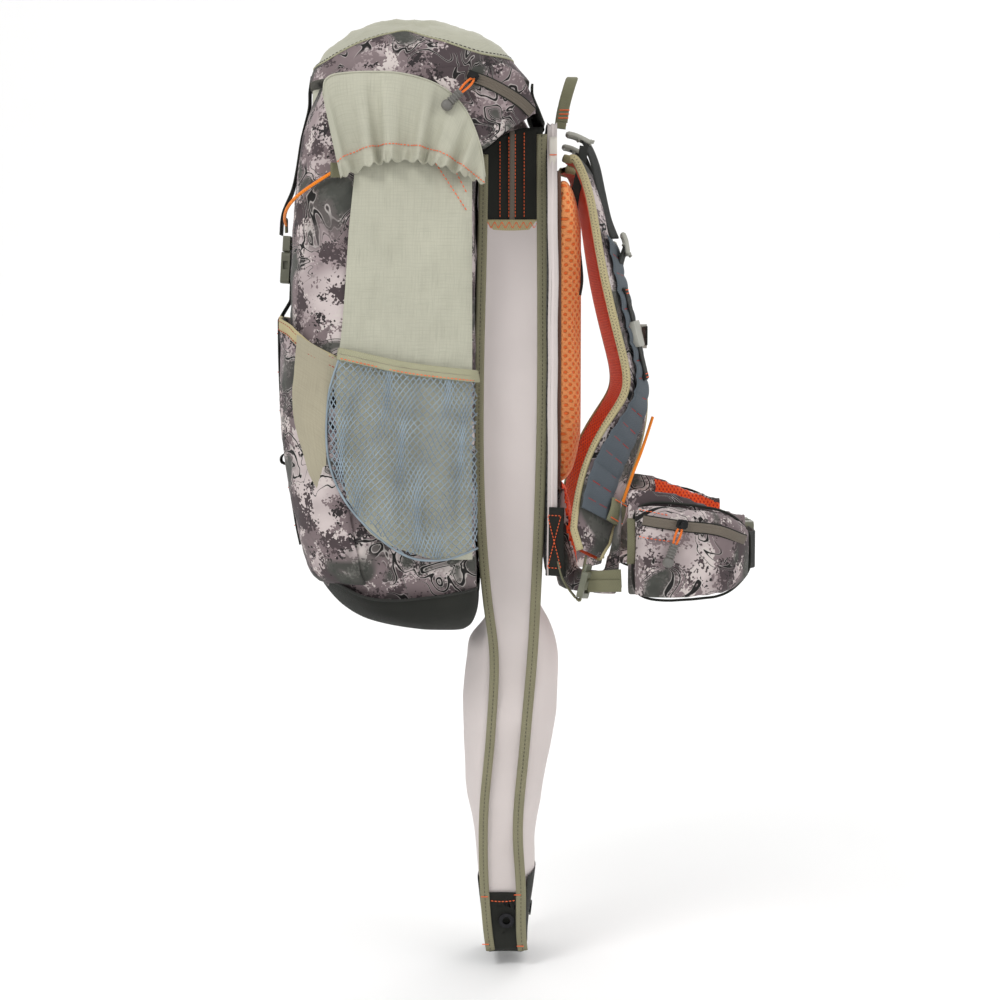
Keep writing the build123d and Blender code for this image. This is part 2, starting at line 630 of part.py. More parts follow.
def front_webbing():
    """Webbing sewn down the front from behind the buckle, with the small pull tab near its end."""
    top = front_line(1.4, (-196, -222))
    over = [(front_x(z) - STASH_DEPTH - CLOTH - 1.6, z) for z in (-244, -300, -360, -400, -440, -480)]
    strip = plate_y(band(top + over, WEB_T), -STRAP_WEB / 2, STRAP_WEB / 2)
    tab_x = front_x(-391) - STASH_DEPTH - CLOTH - 2.4
    tab = block((tab_x - 3, tab_x + 0.8), (-9, 9), (-397, -384))
    tabs = bungee_tabs()
    return Compound([strip + tab, *tabs, *[mirrored(piece) for piece in tabs]])


def corner_point(degrees, z, clear):
    """A point held off the bag's front right corner, by angle from straight sideways."""
    turn = math.radians(degrees)
    low, high = BAG_SECTIONS[1], BAG_SECTIONS[2]
    share = (z - low[0]) / (high[0] - low[0])
    front, half = [low[i] + (high[i] - low[i]) * share for i in (1, 2)]
    reach = FRONT_RADIUS + clear
    x = front + FRONT_RADIUS - reach * math.sin(turn)
    return Vector(x, -half + FRONT_RADIUS - reach * math.cos(turn), z)


CORNER_CORD = [corner_point(12, -106, 4.2), corner_point(38, -121, 4.2), corner_point(64, -135, 4.2),
               corner_point(90, -147, 4.2), corner_point(90, -151, 4.4) + Vector(0, 29, 0)]


def cord(points, radius):
    """Round cord along straight runs joined by arcs as large as the runs allow."""
    bends = []
    for before, corner, after in zip(points, points[1:], points[2:]):
        turn = math.radians((corner - before).get_angle(after - corner))
        run = min((corner - before).length, (after - corner).length)
        bends.append(0.45 * run / math.tan(turn / 2))
    print("cord radii:", [round(bend) for bend in bends])
    path = FilletPolyline(*points, radius=bends)
    return sweep(Plane(origin=path @ 0, z_dir=path % 0) * Circle(radius), path=path)


def front_bungee():
    """Shock cords round both front corners, from tabs under the skirts to tabs beside the buckle."""
    right = cord(CORNER_CORD, 1.6)
    return Compound([right, mirrored(right)])


def bungee_tabs():
    """Sewn tabs at both ends of the right shock cord."""
    near, far = CORNER_CORD[0], CORNER_CORD[-1]
    upper = block((near.X + 0.8, near.X + 15), (near.Y - 0.5, near.Y + 8), (near.Z - 9, near.Z + 9))
    lower = block((far.X - 2.5, far.X + 6), (far.Y + 0.1, far.Y + 12), (far.Z - 7, far.Z + 7))
    return [upper - tube(bag_sections()), lower - tube(bag_sections())]


# ---- lower strap hardware ----
def lower_strap_webbing():
    """Webbing from each lower adjuster back to the pack's bottom corner."""
    path = [(3, -522), (-6, -514), (-16, -500), (-20, -484)]
    web = plate_y(band(path, WEB_T), -166.0, -166.0 + LOWER_WEB)
    corner = block((-20.8, -17.8), (-166, -116), (-500, -430))
    corner = corner & plate_y([(-30, -430), (-30, -500), (-10, -500), (-10, -470)], -200, 0)
    return Compound([web - corner, corner])


def ladder_locks():
    """The adjusters at the shoulder straps' lower ends."""
    place = frame_at((7, -167, -505), (0.25, 0.05, 0.95), (0.3, 1, 0))
    right = place * ladder_lock(LOWER_WEB, 26, 6)
    return Compound([right, mirrored(right)])


def build():
    parts = dict(bag_panels())
    parts["bag_base"] = bag_base()
    parts["front_stash_pocket"] = front_stash_pocket()
    right = mesh_pocket_right()
    parts["mesh_pocket_right"], parts["mesh_pocket_left"] = right, mirrored(right)
    parts["collar"] = collar()
    parts["collar_drawcord"] = collar_drawcord()
    parts["cord_lock_button"] = cord_lock_button()
    parts["lid_shell"] = Compound([lid_shell(), lid_floor()])
    parts["lid_skirts"] = lid_skirts()
    parts["lid_strap"] = lid_strap()
    parts["lid_zipper"] = LID_ZIP * zipper(LID_ZIP_LENGTH)
    parts["lid_zip_slider"] = LID_ZIP * zip_slider()
    parts["lid_zip_pull"] = LID_ZIP * zip_pull(44, -110)
    place = lid_buckle_place()
    parts["lid_buckle_female"] = place * buckle_female(31, 32, 9)
    parts["lid_buckle_male"] = place * buckle_male(31, 32, 9)
    parts["front_webbing"] = front_webbing()
    parts["front_bungee"] = front_bungee()
    parts["scabbard_cuff"] = scabbard_upper(SCABBARD_TOP, CUFF_BOTTOM)
    parts["scabbard_sleeve"] = scabbard_upper(CUFF_BOTTOM, SLEEVE_BOTTOM)
    parts["scabbard_drop"] = scabbard_piece(DROP_SECTIONS, 22)
    parts["scabbard_boot"] = scabbard_boot()
    parts["scabbard_eyelets"] = scabbard_eyelets()
    parts["back_panel"] = back_panel()
    parts["frame_sheet"] = frame_sheet()
    parts["frame_stays"] = frame_stays()
    parts["back_pads"] = back_pads()
    parts["haul_loop"] = haul_loop()
    parts["lid_yoke"] = lid_yoke()
    for name, shape in (("shoulder_strap", shoulder_strap()), ("strap_webbing", strap_webbing()),
                        ("load_lifter", load_lifter()), ("strap_bungee", strap_bungee()),
                        ("belt_wing", belt_wing()), ("belt_pocket", belt_pocket()),
                        ("belt_zip_slider", BELT_ZIP * zip_slider()),
                        ("belt_zip_pull", BELT_ZIP * zip_pull(42, -100))):
        parts[name + "_right"], parts[name + "_left"] = shape, mirrored(shape)
    parts.update(sternum_parts())
    parts["belt_core"] = belt_core()
    parts["belt_strap_right"], parts["belt_strap_left"] = belt_strap_right(), belt_strap_left()
    parts["belt_buckle_female"], parts["belt_buckle_male"] = belt_buckle()
    parts["ladder_locks"] = ladder_locks()
    return parts


if __name__ == "__main__":
    os.makedirs("parts", exist_ok=True)
    for node, shape in build().items():
        export_step(shape, f"parts/{node}.step")
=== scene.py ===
"""Looks of the hunting backpack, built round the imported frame.

Shapes are worked out in millimetres in the row frame and scaled to metres when a mesh is made.
The right side, at negative Y, is made first, and the left side is its mirror image.
"""
import math
import bmesh
import bpy
import numpy as np
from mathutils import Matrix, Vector


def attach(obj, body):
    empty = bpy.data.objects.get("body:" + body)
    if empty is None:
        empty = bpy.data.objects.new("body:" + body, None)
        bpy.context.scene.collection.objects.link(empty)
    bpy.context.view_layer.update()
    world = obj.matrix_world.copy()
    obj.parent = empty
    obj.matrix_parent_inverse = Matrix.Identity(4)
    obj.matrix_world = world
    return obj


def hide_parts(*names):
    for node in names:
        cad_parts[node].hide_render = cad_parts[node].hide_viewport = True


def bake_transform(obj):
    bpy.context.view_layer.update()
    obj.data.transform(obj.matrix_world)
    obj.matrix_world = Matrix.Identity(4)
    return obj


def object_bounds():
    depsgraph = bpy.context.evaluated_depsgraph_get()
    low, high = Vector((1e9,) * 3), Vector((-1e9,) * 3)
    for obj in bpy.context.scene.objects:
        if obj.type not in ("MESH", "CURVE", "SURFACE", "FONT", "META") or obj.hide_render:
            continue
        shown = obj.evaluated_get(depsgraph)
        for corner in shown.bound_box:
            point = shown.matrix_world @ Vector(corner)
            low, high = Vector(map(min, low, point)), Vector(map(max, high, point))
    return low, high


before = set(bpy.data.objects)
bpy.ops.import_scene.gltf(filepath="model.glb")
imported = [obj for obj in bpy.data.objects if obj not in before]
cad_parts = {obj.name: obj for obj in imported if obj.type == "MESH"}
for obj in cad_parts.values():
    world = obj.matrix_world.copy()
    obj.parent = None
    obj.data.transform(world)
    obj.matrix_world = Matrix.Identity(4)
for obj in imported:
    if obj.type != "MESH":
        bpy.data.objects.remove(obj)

MM = 0.001
cad_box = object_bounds()
scene = bpy.context.scene
scene.view_settings.view_transform = "Standard"


# ---- camera and light ----
eye, target = Vector((-0.076, -2.195, -0.281)), Vector((-0.076, 0, -0.434))
camera = bpy.data.objects.new("camera", bpy.data.cameras.new("camera"))
camera.data.lens, camera.data.sensor_width = 75.5, 36
camera.data.clip_end = 30
camera.location = eye
camera.rotation_euler = (target - eye).to_track_quat("-Z", "Y").to_euler()
scene.collection.objects.link(camera)
scene.camera = camera


def rgb(r, g, b):
    """Linear colour from the 0 to 255 values seen on a screen."""
    return tuple((c / 3294.6 if c <= 10.31 else ((c / 255 + 0.055) / 1.055) ** 2.4) for c in (r, g, b)) + (1,)


def light(name, place, aim, size, power):
    data = bpy.data.lights.new(name, "AREA")
    data.shape, data.size, data.energy = "DISK", size, power
    lamp = bpy.data.objects.new(name, data)
    lamp.location = place
    lamp.rotation_euler = (Vector(aim) - Vector(place)).to_track_quat("-Z", "Y").to_euler()
    scene.collection.objects.link(lamp)


light("key", (-1.7, -2.2, 2.0), (-0.1, 0, -0.4), 1.3, 40)
light("fill", (2.2, -2.0, 0.4), (0, 0, -0.4), 2.0, 12)
light("back", (0.6, 2.6, 1.6), (0, 0, -0.4), 2.0, 34)
world = bpy.data.worlds.new("studio")
world.use_nodes = True
world.node_tree.nodes["Background"].inputs[0].default_value = (1, 1, 1, 1)
world.node_tree.nodes["Background"].inputs[1].default_value = 0.8
scene.world = world


# ---- materials ----
class Paint:
    """A Principled material and short calls for the nodes behind it."""

    def __init__(self, name, roughness=0.9, sheen=0.0, specular=0.3, metallic=0.0):
        self.material = bpy.data.materials.new(name)
        self.material.use_nodes = True
        self.tree = self.material.node_tree
        self.shader = self.tree.nodes["Principled BSDF"]
        for socket, value in (("Roughness", roughness), ("Sheen Weight", sheen), ("Metallic", metallic),
                              ("Specular IOR Level", specular)):
            self.shader.inputs[socket].default_value = value
        self.place = self.tree.nodes.new("ShaderNodeTexCoord")
        self.spot, self.uv = self.place.outputs["Object"], self.place.outputs["UV"]

    def add(self, kind, inputs, out=0, **settings):
        node = self.tree.nodes.new("ShaderNode" + kind)
        for key, value in settings.items():
            setattr(node, key, value)
        for key, value in inputs.items():
            if isinstance(value, bpy.types.NodeSocket):
                self.tree.links.new(value, node.inputs[key])
            elif value is not None:
                node.inputs[key].default_value = value
        return node.outputs[out]

    def sum(self, operation, a, b=None, clamp=False):
        inputs = {0: a} if b is None else {0: a, 1: b}
        return self.add("Math", inputs, operation=operation, use_clamp=clamp)

    def vector(self, operation, a, b):
        if operation == "SCALE":
            return self.add("VectorMath", {0: a, "Scale": b}, operation=operation)
        return self.add("VectorMath", {0: a, 1: b}, operation=operation)

    def noise(self, where, scale, detail=2.0, warp=0.0, rough=0.5):
        return self.add("TexNoise", {"Vector": where, "Scale": scale, "Detail": detail, "Distortion": warp,
                                     "Roughness": rough})

    def mix(self, share, a, b, blend="MIX"):
        return self.add("Mix", {0: share, 6: a, 7: b}, 2, data_type="RGBA", blend_type=blend)

    def ramp(self, value, low, high):
        """0 below low and 1 above high, straight between them."""
        return self.add("MapRange", {0: value, 1: low, 2: high, 3: 0.0, 4: 1.0})

    def split(self, where):
        node = self.tree.nodes.new("ShaderNodeSeparateXYZ")
        self.tree.links.new(where, node.inputs[0])
        return node.outputs

    def colour(self, value):
        if isinstance(value, bpy.types.NodeSocket):
            self.tree.links.new(value, self.shader.inputs["Base Color"])
        else:
            self.shader.inputs["Base Color"].default_value = value

    def bump(self, height, strength, distance):
        """Stack another bump on the ones before it."""
        before = self.shader.inputs["Normal"].links
        inputs = {"Height": height, "Strength": strength, "Distance": distance}
        if before:
            inputs["Normal"] = before[0].from_socket
        self.tree.links.new(self.add("Bump", inputs), self.shader.inputs["Normal"])

    def weave(self, pitch, strength, distance=0.0003):
        """Over-and-under threads along both UV directions, pitch in metres; gives the height."""
        u, v, _ = self.split(self.uv)
        turn = 2 * math.pi / pitch
        across = self.sum("SINE", self.sum("MULTIPLY", u, turn))
        along = self.sum("SINE", self.sum("MULTIPLY", v, turn))
        height = self.sum("MULTIPLY", across, along)
        self.bump(height, strength, distance)
        return height

    def soft(self, base, share=0.12, scale=14):
        """The colour with slow light and dark changes, as used cloth has."""
        slow = self.noise(self.spot, scale, 3)
        return self.mix(self.ramp(slow, 0.3, 0.75), tuple(c * (1 - share) for c in base[:3]) + (1,),
                        tuple(min(1, c * (1 + share)) for c in base[:3]) + (1,))


def camo_paint():
    """Grey and mauve patches with speckled edges, airbrushed dark patches and wavy outlines."""
    p = Paint("camo_cloth", 0.88, 0.05)
    cells = p.add("TexVoronoi", {"Vector": p.spot, "Scale": 400.0}, 1)
    jump = p.vector("SCALE", p.vector("SUBTRACT", cells, (0.5, 0.5, 0.5)), 0.0075)
    speckled = p.vector("ADD", p.spot, jump)

    def patch(by, scale, low, detail=3.0, where=speckled):
        moved = p.vector("ADD", where, (by, by * 2, by * 3))
        return p.ramp(p.noise(moved, scale, detail, 0.3), low, low + 0.01)

    colour = p.mix(p.ramp(p.noise(p.spot, 16, 2), 0.4, 0.6), rgb(196, 184, 182), rgb(150, 136, 137))
    colour = p.mix(patch(0.31, 30, 0.48), colour, p.mix(p.noise(p.spot, 40, 2), rgb(104, 91, 93),
                                                        rgb(132, 118, 119)))
    colour = p.mix(patch(0.9, 44, 0.6), colour, rgb(198, 188, 184))
    colour = p.mix(patch(0.77, 30, 0.535), colour, rgb(72, 62, 64))
    colour = p.mix(patch(0.53, 52, 0.62), colour, rgb(46, 41, 42))
    field = p.noise(p.vector("ADD", p.spot, (0.43, 0.11, 0.67)), 19, 1.6, 0.9)
    shade = p.ramp(field, 0.55, 0.64)
    colour = p.mix(p.sum("MULTIPLY", shade, 0.92), colour, p.mix(p.noise(p.spot, 60, 2), rgb(46, 48, 44),
                                                                 rgb(84, 86, 80)))
    shown = p.ramp(p.noise(p.vector("ADD", p.spot, (0.2, 0.9, 0.5)), 11, 1), 0.42, 0.47)
    for centre, width in ((0.545, 0.007), (0.6, 0.0045), (0.47, 0.004)):
        off = p.sum("ABSOLUTE", p.sum("SUBTRACT", field, centre))
        edge = p.sum("SUBTRACT", p.ramp(off, width * 1.3, width * 1.6), p.ramp(off, width * 1.9, width * 2.3))
        line = p.sum("SUBTRACT", 1.0, p.ramp(off, width, width * 1.4))
        colour = p.mix(p.sum("MULTIPLY", edge, p.sum("MULTIPLY", shown, 0.6)), colour, rgb(196, 190, 186))
        colour = p.mix(p.sum("MULTIPLY", line, shown), colour, rgb(26, 25, 24))
    p.colour(colour)
    p.bump(p.noise(p.spot, 1500, 1), 0.25, 0.0003)
    p.bump(p.noise(p.spot, 70, 3), 0.25, 0.003)
    return p.material


def ripstop_paint(name, base):
    """Plain cloth with slubs both ways and a fine raised grid."""
    p = Paint(name, 0.9, 0.08)
    u, v, _ = p.split(p.uv)
    across = p.noise(p.add("CombineXYZ", {0: p.sum("MULTIPLY", u, 40.0), 1: p.sum("MULTIPLY", v, 1700.0)}),
                     1.0, 1)
    along = p.noise(p.add("CombineXYZ", {0: p.sum("MULTIPLY", u, 1700.0), 1: p.sum("MULTIPLY", v, 40.0)}),
                    1.0, 1)
    slub = p.sum("MAXIMUM", p.ramp(across, 0.52, 0.75), p.ramp(along, 0.52, 0.75))
    colour = p.mix(p.sum("MULTIPLY", slub, 0.55), p.soft(base, 0.07),
                   tuple(c * 0.74 for c in base[:3]) + (1,))
    lines = []
    for axis in (u, v):
        part = p.sum("FRACT", p.sum("MULTIPLY", axis, 290.0))
        lines.append(p.sum("LESS_THAN", p.sum("ABSOLUTE", p.sum("SUBTRACT", part, 0.5)), 0.06))
    grid = p.sum("MAXIMUM", *lines)
    p.colour(p.mix(p.sum("MULTIPLY", grid, 0.3), colour, tuple(c * 0.8 for c in base[:3]) + (1,)))
    p.bump(p.sum("ADD", p.sum("MULTIPLY", slub, -0.6), grid), 0.3, 0.0003)
    return p.material


def cloth_paint(name, base, pitch=0.0012, strength=0.25, share=0.1, roughness=0.92, sheen=0.05):
    """Plain woven cloth."""
    p = Paint(name, roughness, sheen)
    p.colour(p.soft(base, share))
    p.weave(pitch, strength)
    p.bump(p.noise(p.spot, 60, 3), 0.12, 0.002)
    return p.material


def webbing_paint(name, base, pitch=0.0016, share=0.16):
    """Ribbed webbing: ribs across the run, with painted shade in the grooves between them."""
    p = Paint(name, 0.78, 0.04)
    u, v, _ = p.split(p.uv)
    slant = p.sum("ADD", u, p.sum("MULTIPLY", p.sum("PINGPONG", v, 0.002), 0.8))
    rib = p.sum("SINE", p.sum("MULTIPLY", slant, 2 * math.pi / pitch))
    fine = p.sum("SINE", p.sum("MULTIPLY", v, 2 * math.pi / 0.0011))
    height = p.sum("ADD", rib, p.sum("MULTIPLY", fine, 0.4))
    # Painted shade: the grooves between the ribs get a darker copy of the colour.
    groove_shade = tuple(c * (1 - share * 2.2) for c in base[:3]) + (1,)
    p.colour(p.mix(p.ramp(height, -1.2, 0.8), groove_shade, p.soft(base, share, 30)))
    p.bump(height, 0.5, 0.0003)
    return p.material


def spacer_paint(name, base, hole_shade, a=0.0062, b=0.0105):
    """Knitted spacer mesh with rows of staggered oval holes, the holes filled with painted shade."""
    p = Paint(name, 0.75, 0.15)
    u, v, _ = p.split(p.uv)
    i, j = p.sum("DIVIDE", u, a), p.sum("DIVIDE", v, b)
    lattice = p.add("CombineXYZ", {0: p.sum("ADD", i, j), 1: p.sum("SUBTRACT", i, j)})
    far = p.add("TexVoronoi", {"Vector": lattice, "Scale": 1.0, "Randomness": 0.0}, 0,
                voronoi_dimensions="2D")
    open_ = p.sum("SUBTRACT", 1.0, p.ramp(far, 0.2, 0.36))
    thread = p.noise(p.spot, 900, 1)
    colour = p.mix(p.ramp(thread, 0.35, 0.7), tuple(c * 0.78 for c in base[:3]) + (1,), base)
    # Painted shade: the holes take the darker colour given for them.
    p.colour(p.mix(open_, colour, hole_shade))
    p.bump(p.sum("SUBTRACT", p.sum("MULTIPLY", thread, 0.25), open_), 0.9, 0.0012)
    return p.material


def plain_paint(name, base, roughness=0.5, metallic=0.0, grain=700, depth=0.25, share=0.12, specular=0.45):
    """Moulded plastic, painted metal or thread with a fine grain."""
    p = Paint(name, roughness, 0.0, specular, metallic)
    wear = p.noise(p.spot, 45, 4)
    p.colour(p.mix(p.ramp(wear, 0.35, 0.8), base,
                   tuple(min(1, c * (1 + share * 3) + 0.004) for c in base[:3]) + (1,)))
    p.bump(p.noise(p.spot, grain, 2), depth, 0.0002)
    return p.material


def braid_paint(name, base):
    """Braided cord: crossing diagonal strands, with painted shade between them."""
    p = Paint(name, 0.6, 0.1)
    x, y, z = p.split(p.spot)
    first = p.sum("SINE", p.sum("MULTIPLY", p.sum("ADD", z, p.sum("ADD", x, y)), 3600.0))
    second = p.sum("SINE", p.sum("MULTIPLY", p.sum("SUBTRACT", z, p.sum("SUBTRACT", x, y)), 3600.0))
    height = p.sum("MAXIMUM", first, second)
    # Painted shade: the low parts between the strands are darker.
    p.colour(p.mix(p.ramp(height, -0.6, 0.8), tuple(c * 0.62 for c in base[:3]) + (1,), base))
    p.bump(height, 0.5, 0.0003)
    return p.material


CAMO = camo_paint()
RIPSTOP = ripstop_paint("ripstop_cloth", rgb(179, 178, 161))
TAN = ripstop_paint("tan_cloth", rgb(164, 157, 136))
BLACK_CLOTH = cloth_paint("dark_cloth", rgb(36, 37, 33), 0.0014, 0.4, 0.25)
GREY_CLOTH = cloth_paint("scabbard_cloth", rgb(209, 200, 197), 0.0011, 0.2, 0.03)
LINING = cloth_paint("lining_cloth", rgb(120, 118, 110), 0.0011, 0.3)
SLATE = webbing_paint("slate_webbing", rgb(86, 94, 101), 0.0018, 0.1)
OLIVE_WEB = webbing_paint("olive_webbing", rgb(124, 122, 96))
DARK_WEB = webbing_paint("dark_webbing", rgb(44, 45, 42))
BINDING = webbing_paint("olive_binding", rgb(138, 134, 108), 0.0022, 0.08)
CREAM_BINDING = webbing_paint("cream_binding", rgb(186, 174, 134), 0.0022, 0.08)
SAGE_BINDING = webbing_paint("sage_binding", rgb(166, 164, 136), 0.0022, 0.06)
SPACER = spacer_paint("spacer_mesh", rgb(255, 168, 104), rgb(236, 112, 48), 0.0042, 0.0082)
STRAP_MESH = spacer_paint("strap_mesh", rgb(255, 92, 34), rgb(206, 40, 8), 0.004, 0.0064)
BLACK_MESH = spacer_paint("black_mesh", rgb(52, 52, 50), rgb(14, 14, 14), 0.005, 0.008)
# The net's colour is its strands' blue-grey, darkened further as painted shade for the shadow in the pocket
# behind the net.
NET = plain_paint("pocket_net", rgb(124, 137, 146), 0.55, 0.0, 2600, 0.5, 0.2)
THREAD = plain_paint("orange_thread", rgb(232, 98, 50), 0.7, 0.0, 3000, 0.6)
RED_THREAD = plain_paint("red_thread", rgb(150, 40, 34), 0.7, 0.0, 3000, 0.6)
DARK_THREAD = plain_paint("dark_thread", rgb(40, 36, 34), 0.8, 0.0, 3000, 0.6)
CORD = braid_paint("orange_cord", rgb(250, 138, 24))
ZIP_TAPE = webbing_paint("zip_tape", rgb(116, 107, 96), 0.0014, 0.12)
BUCKLE = plain_paint("buckle_plastic", rgb(98, 99, 84), 0.48, 0.0, 900, 0.35)
GREY_PLASTIC = plain_paint("grey_plastic", rgb(150, 149, 140), 0.5, 0.0, 900, 0.35)
TOGGLE = plain_paint("zip_pull", rgb(98, 96, 92), 0.5, 0.0, 900, 0.35)
SLIDER = plain_paint("zip_slider", rgb(30, 30, 30), 0.35, 0.6, 1200, 0.2)
EYELET = plain_paint("eyelet_metal", rgb(40, 40, 42), 0.25, 0.9, 1200, 0.15)
STAY = plain_paint("stay_metal", rgb(190, 190, 192), 0.35, 1.0, 900, 0.2)
SHEET = plain_paint("sheet_plastic", rgb(34, 34, 36), 0.5)


# ---- mesh making ----
def piece(name, points, faces, material, body="pack", uv=None, smooth=True, replaces=(), slot=None):
    """One object from points in millimetres, riding on a body."""
    mesh = bpy.data.meshes.new(name)
    mesh.from_pydata((np.asarray(points, float) * MM).tolist(), [], [tuple(map(int, f)) for f in faces])
    mesh.materials.append(material)
    mesh.polygons.foreach_set("use_smooth", [smooth] * len(mesh.polygons))
    if uv is not None:
        layer, flat = mesh.uv_layers.new(name="UVMap"), np.asarray(uv, float) * MM
        corners = np.zeros(len(mesh.loops), int)
        mesh.loops.foreach_get("vertex_index", corners)
        layer.data.foreach_set("uv", flat[corners].ravel())
    made = bpy.data.objects.new(name, mesh)
    scene.collection.objects.link(made)
    if body == "pack>drop":
        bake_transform(made)
    else:
        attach(made, body)
    if replaces:
        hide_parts(*replaces)
    return made


def flipped(points):
    return np.asarray(points, float) * (1, -1, 1)


def pair(name, points, faces, material, body="pack", uv=None, smooth=True, replaces=(), slot=None):
    """A right piece and its mirror image.

    Body and replaced nodes name the right one, and the left is worked out from them.
    """
    right = piece(name + "_right", points, faces, material, body, uv, smooth, replaces, slot)
    other = body.replace("right", "left")
    nodes = [node.replace("_right", "_left") for node in replaces]
    nodes = nodes if nodes != list(replaces) else []
    left = piece(name + "_left", flipped(points), [tuple(f)[::-1] for f in faces], material, other,
                 uv, smooth, nodes, slot)
    return right, left


def quads(rows, columns, wrap=False):
    """Faces of a grid of points, wrapped round its columns if asked."""
    i, j = np.meshgrid(np.arange(rows - 1), np.arange(columns if wrap else columns - 1), indexing="ij")
    k = (j + 1) % columns
    return np.stack([i * columns + j, i * columns + k, (i + 1) * columns + k, (i + 1) * columns + j],
                    -1).reshape(-1, 4)


def grid_uv(grid):
    """Distances along and down a grid, in millimetres."""
    along = np.linalg.norm(np.diff(grid, axis=1), axis=2).cumsum(1)
    down = np.linalg.norm(np.diff(grid, axis=0), axis=2).cumsum(0)
    u, v = np.zeros(grid.shape[:2]), np.zeros(grid.shape[:2])
    u[:, 1:], v[1:] = along, down
    u -= u[:, -1:] / 2
    return np.stack([u, v], -1).reshape(-1, 2)


def closed_pad(front, back):
    """Points and faces of the closed form between two grids of one size."""
    rows, columns = front.shape[:2]
    n = rows * columns
    points = np.concatenate([front.reshape(-1, 3), back.reshape(-1, 3)])
    top = quads(rows, columns)
    rim = np.concatenate([np.arange(columns), np.arange(1, rows) * columns + columns - 1,
                          np.arange(columns - 2, -1, -1) + (rows - 1) * columns,
                          np.arange(rows - 2, 0, -1) * columns])
    after = np.roll(rim, -1)
    return points, np.concatenate([top, (top + n)[:, ::-1], np.stack([rim, rim + n, after + n, after], -1)])


def thick_grid(grid, thickness, outward):
    """Points and faces of a closed sheet: the grid, the same grid moved inwards, and a rim."""
    normal = np.cross(np.gradient(grid, axis=0), np.gradient(grid, axis=1))
    normal /= np.maximum(np.linalg.norm(normal, axis=2, keepdims=True), 1e-9)
    if (normal * outward).sum() < 0:
        normal = -normal
    points, faces = closed_pad(grid, grid - normal * thickness)
    a, b, c = grid[0, 0], grid[0, 1], grid[1, 0]
    if np.dot(np.cross(b - a, c - a), normal[0, 0]) < 0:
        faces = faces[:, ::-1]
    return points, faces, np.concatenate([grid_uv(grid)] * 2)


def face_out(grid, faces, outward):
    """The faces turned so that their fronts look along outward on average."""
    p = grid.reshape(-1, 3)[faces[:, :3]]
    normal = np.cross(p[:, 1] - p[:, 0], p[:, 2] - p[:, 0])
    way = np.broadcast_to(outward, grid.shape).reshape(-1, 3)[faces[:, 0]]
    return faces if (normal * way).sum() > 0 else faces[:, ::-1]


def surface(name, grid, outward, paint, body="pack", make=piece, wrap=True, **more):
    """A piece, or a pair, from one grid of points, closed round its columns if wrap is set."""
    faces = face_out(grid, quads(*grid.shape[:2], wrap), outward)
    return make(name, grid.reshape(-1, 3), faces, paint, body, grid_uv(grid), **more)


def curve(points, count):
    """Evenly spaced points on a smooth line through the given ones."""
    points = np.asarray(points, float)
    ends = np.concatenate([[2 * points[0] - points[1]], points, [2 * points[-1] - points[-2]]])
    fine = []
    for a, b, c, d in zip(ends, ends[1:], ends[2:], ends[3:]):
        t = np.linspace(0, 1, 24, endpoint=False)[:, None]
        fine.append(0.5 * (2 * b + (c - a) * t + (2 * a - 5 * b + 4 * c - d) * t ** 2
                           + (3 * b - a - 3 * c + d) * t ** 3))
    fine = np.concatenate(fine + [points[-1:]])
    far = np.concatenate([[0], np.linalg.norm(np.diff(fine, axis=0), axis=1).cumsum()])
    at = np.linspace(0, far[-1], count)
    return np.stack([np.interp(at, far, fine[:, k]) for k in range(fine.shape[1])], 1)


def hermite(xs, ys):
    """A smooth function through points with rising xs."""
    xs, ys = np.asarray(xs, float), np.asarray(ys, float)
    slopes = np.gradient(ys, xs)

    def value(q):
        q = np.clip(q, xs[0], xs[-1])
        i = np.clip(np.searchsorted(xs, q) - 1, 0, len(xs) - 2)
        run = xs[i + 1] - xs[i]
        t = (q - xs[i]) / run
        return ((2 * t ** 3 - 3 * t ** 2 + 1) * ys[i] + (t ** 3 - 2 * t ** 2 + t) * run * slopes[i]
                + (3 * t ** 2 - 2 * t ** 3) * ys[i + 1] + (t ** 3 - t ** 2) * run * slopes[i + 1])
    return value


def swell(points, size, amount, seed, ridge=False):
    """Slow uneven waves over space, size across, from a few fixed directions."""
    rng = np.random.default_rng(seed)
    total = 0
    for _ in range(7):
        way = rng.normal(size=3)
        way *= 2 * math.pi / (np.linalg.norm(way) * size * rng.uniform(0.7, 1.6))
        wave = np.sin(points @ way + rng.uniform(0, 6.3))
        total = total + (1 - 2 * np.abs(wave) ** 0.7 if ridge else wave)
    return total * amount / 2.6


def axes(path, up):
    """Unit vectors along a path, to its side and up from it."""
    along = np.gradient(np.asarray(path, float), axis=0)
    along /= np.linalg.norm(along, axis=1, keepdims=True)
    side = np.cross(along, np.broadcast_to(np.asarray(up, float), along.shape))
    side /= np.maximum(np.linalg.norm(side, axis=1, keepdims=True), 1e-9)
    return along, side, np.cross(side, along)


def sweep(path, outline, up, grow=None):
    """Points, faces and UVs of a closed outline (side, up) carried along a path, with both ends capped."""
    path, outline = np.asarray(path, float), np.asarray(outline, float)
    _, side, above = axes(path, up)
    size = np.ones(len(path)) if grow is None else np.asarray(grow, float)
    ring = (path[:, None] + side[:, None] * (outline[None, :, :1] * size[:, None, None])
            + above[:, None] * (outline[None, :, 1:] * size[:, None, None]))
    rows, columns = ring.shape[:2]
    faces = [tuple(f) for f in quads(rows, columns, True)]
    faces += [tuple(range(columns))[::-1], tuple(range((rows - 1) * columns, rows * columns))]
    far = np.concatenate([[0], np.linalg.norm(np.diff(path, axis=0), axis=1).cumsum()])
    uv = np.stack([np.repeat(far, columns), np.tile(outline[:, 0], rows)], 1)
    return ring.reshape(-1, 3), faces, uv


